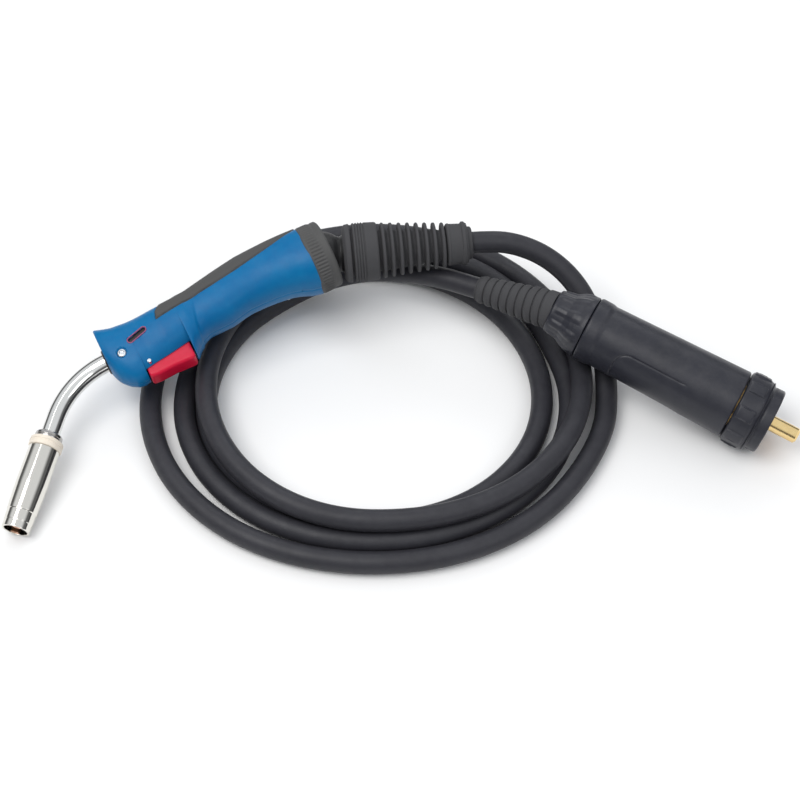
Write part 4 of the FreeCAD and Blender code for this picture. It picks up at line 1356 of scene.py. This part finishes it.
    def build(self) -> None:
        """Make every piece of the handle."""
        self.shell("handle_shell_upper", True)
        self.shell("handle_shell_lower", False)
        self.grip()
        self.ring()
        self.screws_in()
        self.slot()
        turned("neck_grommet", [(150.6, 5.98), (150.6, 8.6), (152.9, 8.2), (153.6, 7.4), (153.6, 5.98)],
               TORCH @ Matrix.Translation((0, NECK_EXIT.y, 0)), JOINT_BLACK, "handle", edge=0.4)


@dataclass
class Trigger:
    """The red finger bar."""

    rear: float = 100.9
    front: float = 131.9
    depth: float = 14.0
    hollow: float = 19.7
    half: float = 6.4
    wall: float = 1.9
    outer: Outline = ((100, 31.0), (104, 31.6), (115, 31.1), (127, 31.8), (132, 31.2))
    corner: float = 2.4

    def build(self) -> None:
        """Make the bar, hollow under its outer face, with its ends rounded."""
        rings = []
        for end, sign in ((self.rear, 1), (self.front, -1)):
            part = [(end + sign * 1.6 * (1 - math.cos(t)), 1.6 * (1 - math.sin(t)))
                    for t in np.linspace(0, math.pi / 2, 6)]
            rings += part if sign > 0 else part[::-1]
        middle = [(x, 0.0) for x in np.linspace(self.rear + 2.2, self.front - 2.2, 18)]
        rings = rings[:6] + middle + rings[6:]
        shapes = []
        for x, inset in rings:
            top = float(np.interp(x, *zip(*self.outer))) - inset * 0.9
            half = self.half - inset * 0.45
            ring = []
            for side in (-1, 1):
                arc = [(side * (half - self.corner * (1 - math.sin(t))),
                        top - self.corner * (1 - math.cos(t)))
                       for t in np.linspace(math.pi / 2, 0, 8)]
                ring += arc if side < 0 else arc[::-1]
            inner = self.half - self.wall
            ring += [(half, self.depth), (inner, self.depth), (inner, self.hollow), (-inner, self.hollow),
                     (-inner, self.depth), (-half, self.depth)]
            shapes.append([(x, y, z) for z, y in ring])
        piece = Solid().rings(np.array(shapes)).make("trigger_bar", TORCH, sharp=40)
        settle(piece, TRIGGER_RED, "trigger", ("trigger",))


# ------------------------------------------------------------------------------- cable support
@dataclass
class CableSupport:
    """Ball, ribbed collar, finned bellows and end cap on the lead."""

    ball_radius: float = 15.5
    rim_radius: float = 19.2
    start: float = 13.8
    bellows_start: float = 36.0
    bellows_end: float = 80.0
    fins: int = 8
    front_radius: float = 18.3
    rear_radius: float = 14.6
    fin_height: float = 4.6

    def build(self) -> list[bpy.types.Object]:
        """Make the support's pieces and return them.

        Returns:
            The pieces, from the ball to the end cap.
        """
        ball = [(self.ball_radius * math.cos(t), self.ball_radius * math.sin(t))
                for t in np.linspace(math.radians(150), math.radians(52), 14)]
        stem = [(10.6, 11.6), (12.2, 11.2), (14.6, 12.6), (14.6, 7.4)]
        joint_ball = turned("ball_joint", [(-13.4, 7.4), *ball, *stem], SUPPORT, JOINT_BLACK, "lead",
                            ("joint_ball",), edge=0.4)
        rim = self.rim_radius
        outline = [(self.start, 9.6), (self.start, 15.9), (15.6, 18.5), (18.2, 18.9), (18.8, 18.4),
                   (18.9, 15.6), (20.3, 15.4), (20.5, 18.6)]
        for ridge in range(4):
            at = 20.9 + 1.75 * ridge
            outline += [(at, rim - 0.2), (at + 0.9, rim), (at + 1.15, rim - 0.75), (at + 1.6, rim - 0.75)]
        outline += [(28.2, rim - 0.25), (35.3, rim - 0.55), (36.3, rim - 1.3), (36.4, 11.5), (23.2, 9.6)]
        collar = turned("support_collar", outline, SUPPORT, SUPPORT_RUBBER, "lead", ("support_collar",),
                        edge=0.35, around=160)
        pitch = (self.bellows_end - self.bellows_start) / self.fins
        outline = [(self.bellows_start - 1.5, 7.2), (self.bellows_start - 1.5, 12.4)]
        for fin in range(self.fins):
            at = self.bellows_start + pitch * fin
            top = self.front_radius + (self.rear_radius - self.front_radius) * ((fin + 1) / self.fins)
            root = top - self.fin_height
            outline += [(at + 0.9, root), (at + pitch * 0.40, root - 0.1), (at + pitch * 0.50, top - 0.7),
                        (at + pitch * 0.60, top), (at + pitch * 0.82, top - 0.05),
                        (at + pitch * 0.90, top - 0.8), (at + pitch * 0.98, root + 0.4)]
        outline += [(self.bellows_end + 0.6, 9.8), (self.bellows_end + 0.6, 7.2)]
        bellows = turned("bellows", outline, SUPPORT, SUPPORT_RUBBER, "lead", ("bellows",),
                         edge=0.45, around=160)
        cap = turned("support_cap", [(80.4, 7.15), (80.4, 12.6), (81.2, 13.5), (82.4, 13.7), (82.9, 13.3),
                                     (89.6, 12.9), (90.2, 13.1), (90.7, 14.1), (92.6, 14.1), (93.2, 13.2),
                                     (94.0, 12.9), (94.2, 10.8), (96.4, 10.4), (97.0, 9.7), (97.0, 7.15)],
                     SUPPORT, SUPPORT_RUBBER, "lead", ("support_cap",), edge=0.4, around=160)
        return [joint_ball, collar, bellows, cap]


# ------------------------------------------------------------------------------- connector
@dataclass
class Connector:
    """Strain relief, gland, housing and spinning nut; the brass inside is CAD nodes."""

    body_length: float = 103.0
    body_rear: float = 20.0
    body_front: float = 22.3
    gland: float = -26.0
    flutes: int = 9
    lugs: int = 8
    relief_ribs: int = 8
    relief_length: float = 54.0
    panel_middle: float = 182.0
    panel_half: float = 44.0
    panel_span: tuple[float, float] = (24.0, 72.0)

    def relief(self) -> bpy.types.Object:
        """Make the ribbed strain relief.

        Returns:
            The strain relief.
        """
        outline = [(-1.0, 7.15), (-1.0, 12.4), (5.6, 12.6), (6.2, 11.9)]
        thick, thin = 12.9, 8.9
        pitch = (self.relief_length - 7.5) / self.relief_ribs
        for rib in range(self.relief_ribs):
            top = thick + (thin - thick) * ((rib + 1) / self.relief_ribs)
            at = 7.0 + pitch * rib
            outline += [(at - 0.1, top - 1.3), (at + 0.3, top - 0.35), (at + pitch * 0.45, top + 0.25),
                        (at + pitch * 0.8, top - 0.25), (at + pitch * 0.88, top - 1.4)]
        outline += [(self.relief_length, thin - 0.7), (self.relief_length, 7.15)]
        return turned("strain_relief", outline, RELIEF, SUPPORT_RUBBER, "lead", ("strain_relief",), edge=0.35,
                      around=128)

    def rear_gland(self) -> bpy.types.Object:
        """Make the fluted gland that grows up to the housing.

        Returns:
            The gland.
        """
        def flutes(along: np.ndarray, angle: np.ndarray) -> np.ndarray:
            """Soft flutes round the middle of the gland.

            Args:
                along: place along the axis.
                angle: place round it.

            Returns:
                How far the surface stands out.
            """
            wave = np.clip(np.cos(angle * self.flutes), -0.35, 0.8)
            zone = eased(along, self.gland + 1.0, self.gland + 4.5) * (1 - eased(along, -7.0, -3.2))
            return 0.75 * wave * zone
        outline = [(self.gland, 7.6), (self.gland, 13.0), (self.gland + 0.8, 14.1), (-16, 15.6),
                   (-11.5, 18.3), (-8, 19.6), (-2.2, 20.6), (-1.6, 20.1), (-1.6, 12.0), (-20, 12.0),
                   (-20, 7.6)]
        return turned("rear_gland", outline, PLUG, HOUSING, "lead", ("rear_gland",), edge=0.6, around=216,
                      spacing=0.8, swell=flutes)

    def housing(self) -> bpy.types.Object:
        """Make the long housing with its panel line.

        Returns:
            The housing.
        """
        def panel(along: np.ndarray, angle: np.ndarray) -> np.ndarray:
            """The fine line round the sunk panel, which fades out at its front.

            Args:
                along: place along the axis.
                angle: place round it.

            Returns:
                How far the surface stands out.
            """
            off = (np.degrees(angle) - self.panel_middle + 180) % 360 - 180
            across = np.abs(off) * math.radians(1) * self.body_rear
            half = math.radians(self.panel_half) * self.body_rear
            start, end = self.panel_span
            turn = 9.0
            dx = np.maximum(start + turn - along, 0)
            dy = np.maximum(across - (half - turn), 0)
            edge = np.where((dx > 0) & (dy > 0), np.hypot(dx, dy) - turn, np.maximum(dx, dy) - turn)
            fade = (1 - eased(along, end - 6, end)) * (along > start - 3) * (across < half + 3)
            line = np.exp(-(edge / 0.42) ** 2) * fade
            sunk = (1 - eased(edge, -0.9, 0.2)) * fade
            return -0.75 * line - 0.35 * sunk
        tail = self.body_length
        outline = [(-1.2, 12.3), (-1.2, 20.2), (-0.4, 21.0), (1.0, 21.1), (7.0, 21.0), (9.5, 20.3),
                   (tail - 0.9, self.body_front), (tail, self.body_front - 0.8), (tail, 13.9),
                   (tail - 4, 13.9), (tail - 4, 19.7), (8, 17.4), (8, 12.3)]
        return turned("connector_housing", outline, PLUG, HOUSING, "lead",
                      ("connector_body", "housing_screws"), edge=0.5, around=300, spacing=0.55,
                      swell=panel)

    def nut(self) -> bpy.types.Object:
        """Make the spinning nut with its raised lugs.

        Returns:
            The nut.
        """
        def lugs(along: np.ndarray, angle: np.ndarray) -> np.ndarray:
            """Wide lugs round the nut, each with a raised bar.

            Args:
                along: place along the axis.
                angle: place round it.

            Returns:
                How far the surface stands out.
            """
            wave = np.cos(angle * self.lugs)
            zone = eased(along, 104.6, 105.3) * (1 - eased(along, 115.4, 116.4))
            lug = eased(wave, 0.05, 0.32) * zone
            bar = eased(np.cos(angle * self.lugs * 2 + math.pi), 0.72, 0.86)
            bar = bar * eased(along, 107.2, 107.7) * (1 - eased(along, 112.6, 113.1)) * lug
            return (0.95 * lug - 0.95 + 0.45 * bar) * (along < 118.5)
        face = [(103.7, 14.1), (103.7, 23.0), (104.4, 24.2), (116.6, 24.4), (118.9, 23.4), (119.6, 21.6),
                (120.4, 20.9), (121.2, 21.2), (126.2, 21.2), (127.0, 20.5), (127.0, 17.6), (108.2, 17.5),
                (108.2, 14.1)]
        return turned("connector_nut", face, PLUG, HOUSING, "nut", ("connector_nut",), edge=0.5, around=384,
                      spacing=0.7, swell=lugs)

    def build(self) -> list[bpy.types.Object]:
        """Make the connector's pieces and return them."""
        return [self.relief(), self.rear_gland(), self.housing(), self.nut()]


def dress_cad() -> None:
    """Give every CAD node that still shows its own procedural finish."""
    for name, node in frame["nodes"].items():
        if not node.hide_render:
            CAD_FINISHES[name].dress(node)
            node.data.polygons.foreach_set("use_smooth", [True] * len(node.data.polygons))
            node.data.set_sharp_from_angle(angle=math.radians(35))


def write_sizes() -> None:
    """Update the view layer."""
    bpy.context.view_layer.update()


def main() -> None:
    """Build the studio, then the lead, then each sub-assembly in order."""
    logging.basicConfig(level=logging.INFO, format="%(name)s: %(message)s")
    studio = Studio()
    studio.camera()
    lead = Lead()
    line = lead.build()
    NozzleEnd().build()
    Handle().build()
    Trigger().build()
    support = CableSupport().build()
    connector = Connector().build()
    dress_cad()
    studio.floor()
    studio.light()
    write_sizes()


if __name__ == "__main__":
    main()
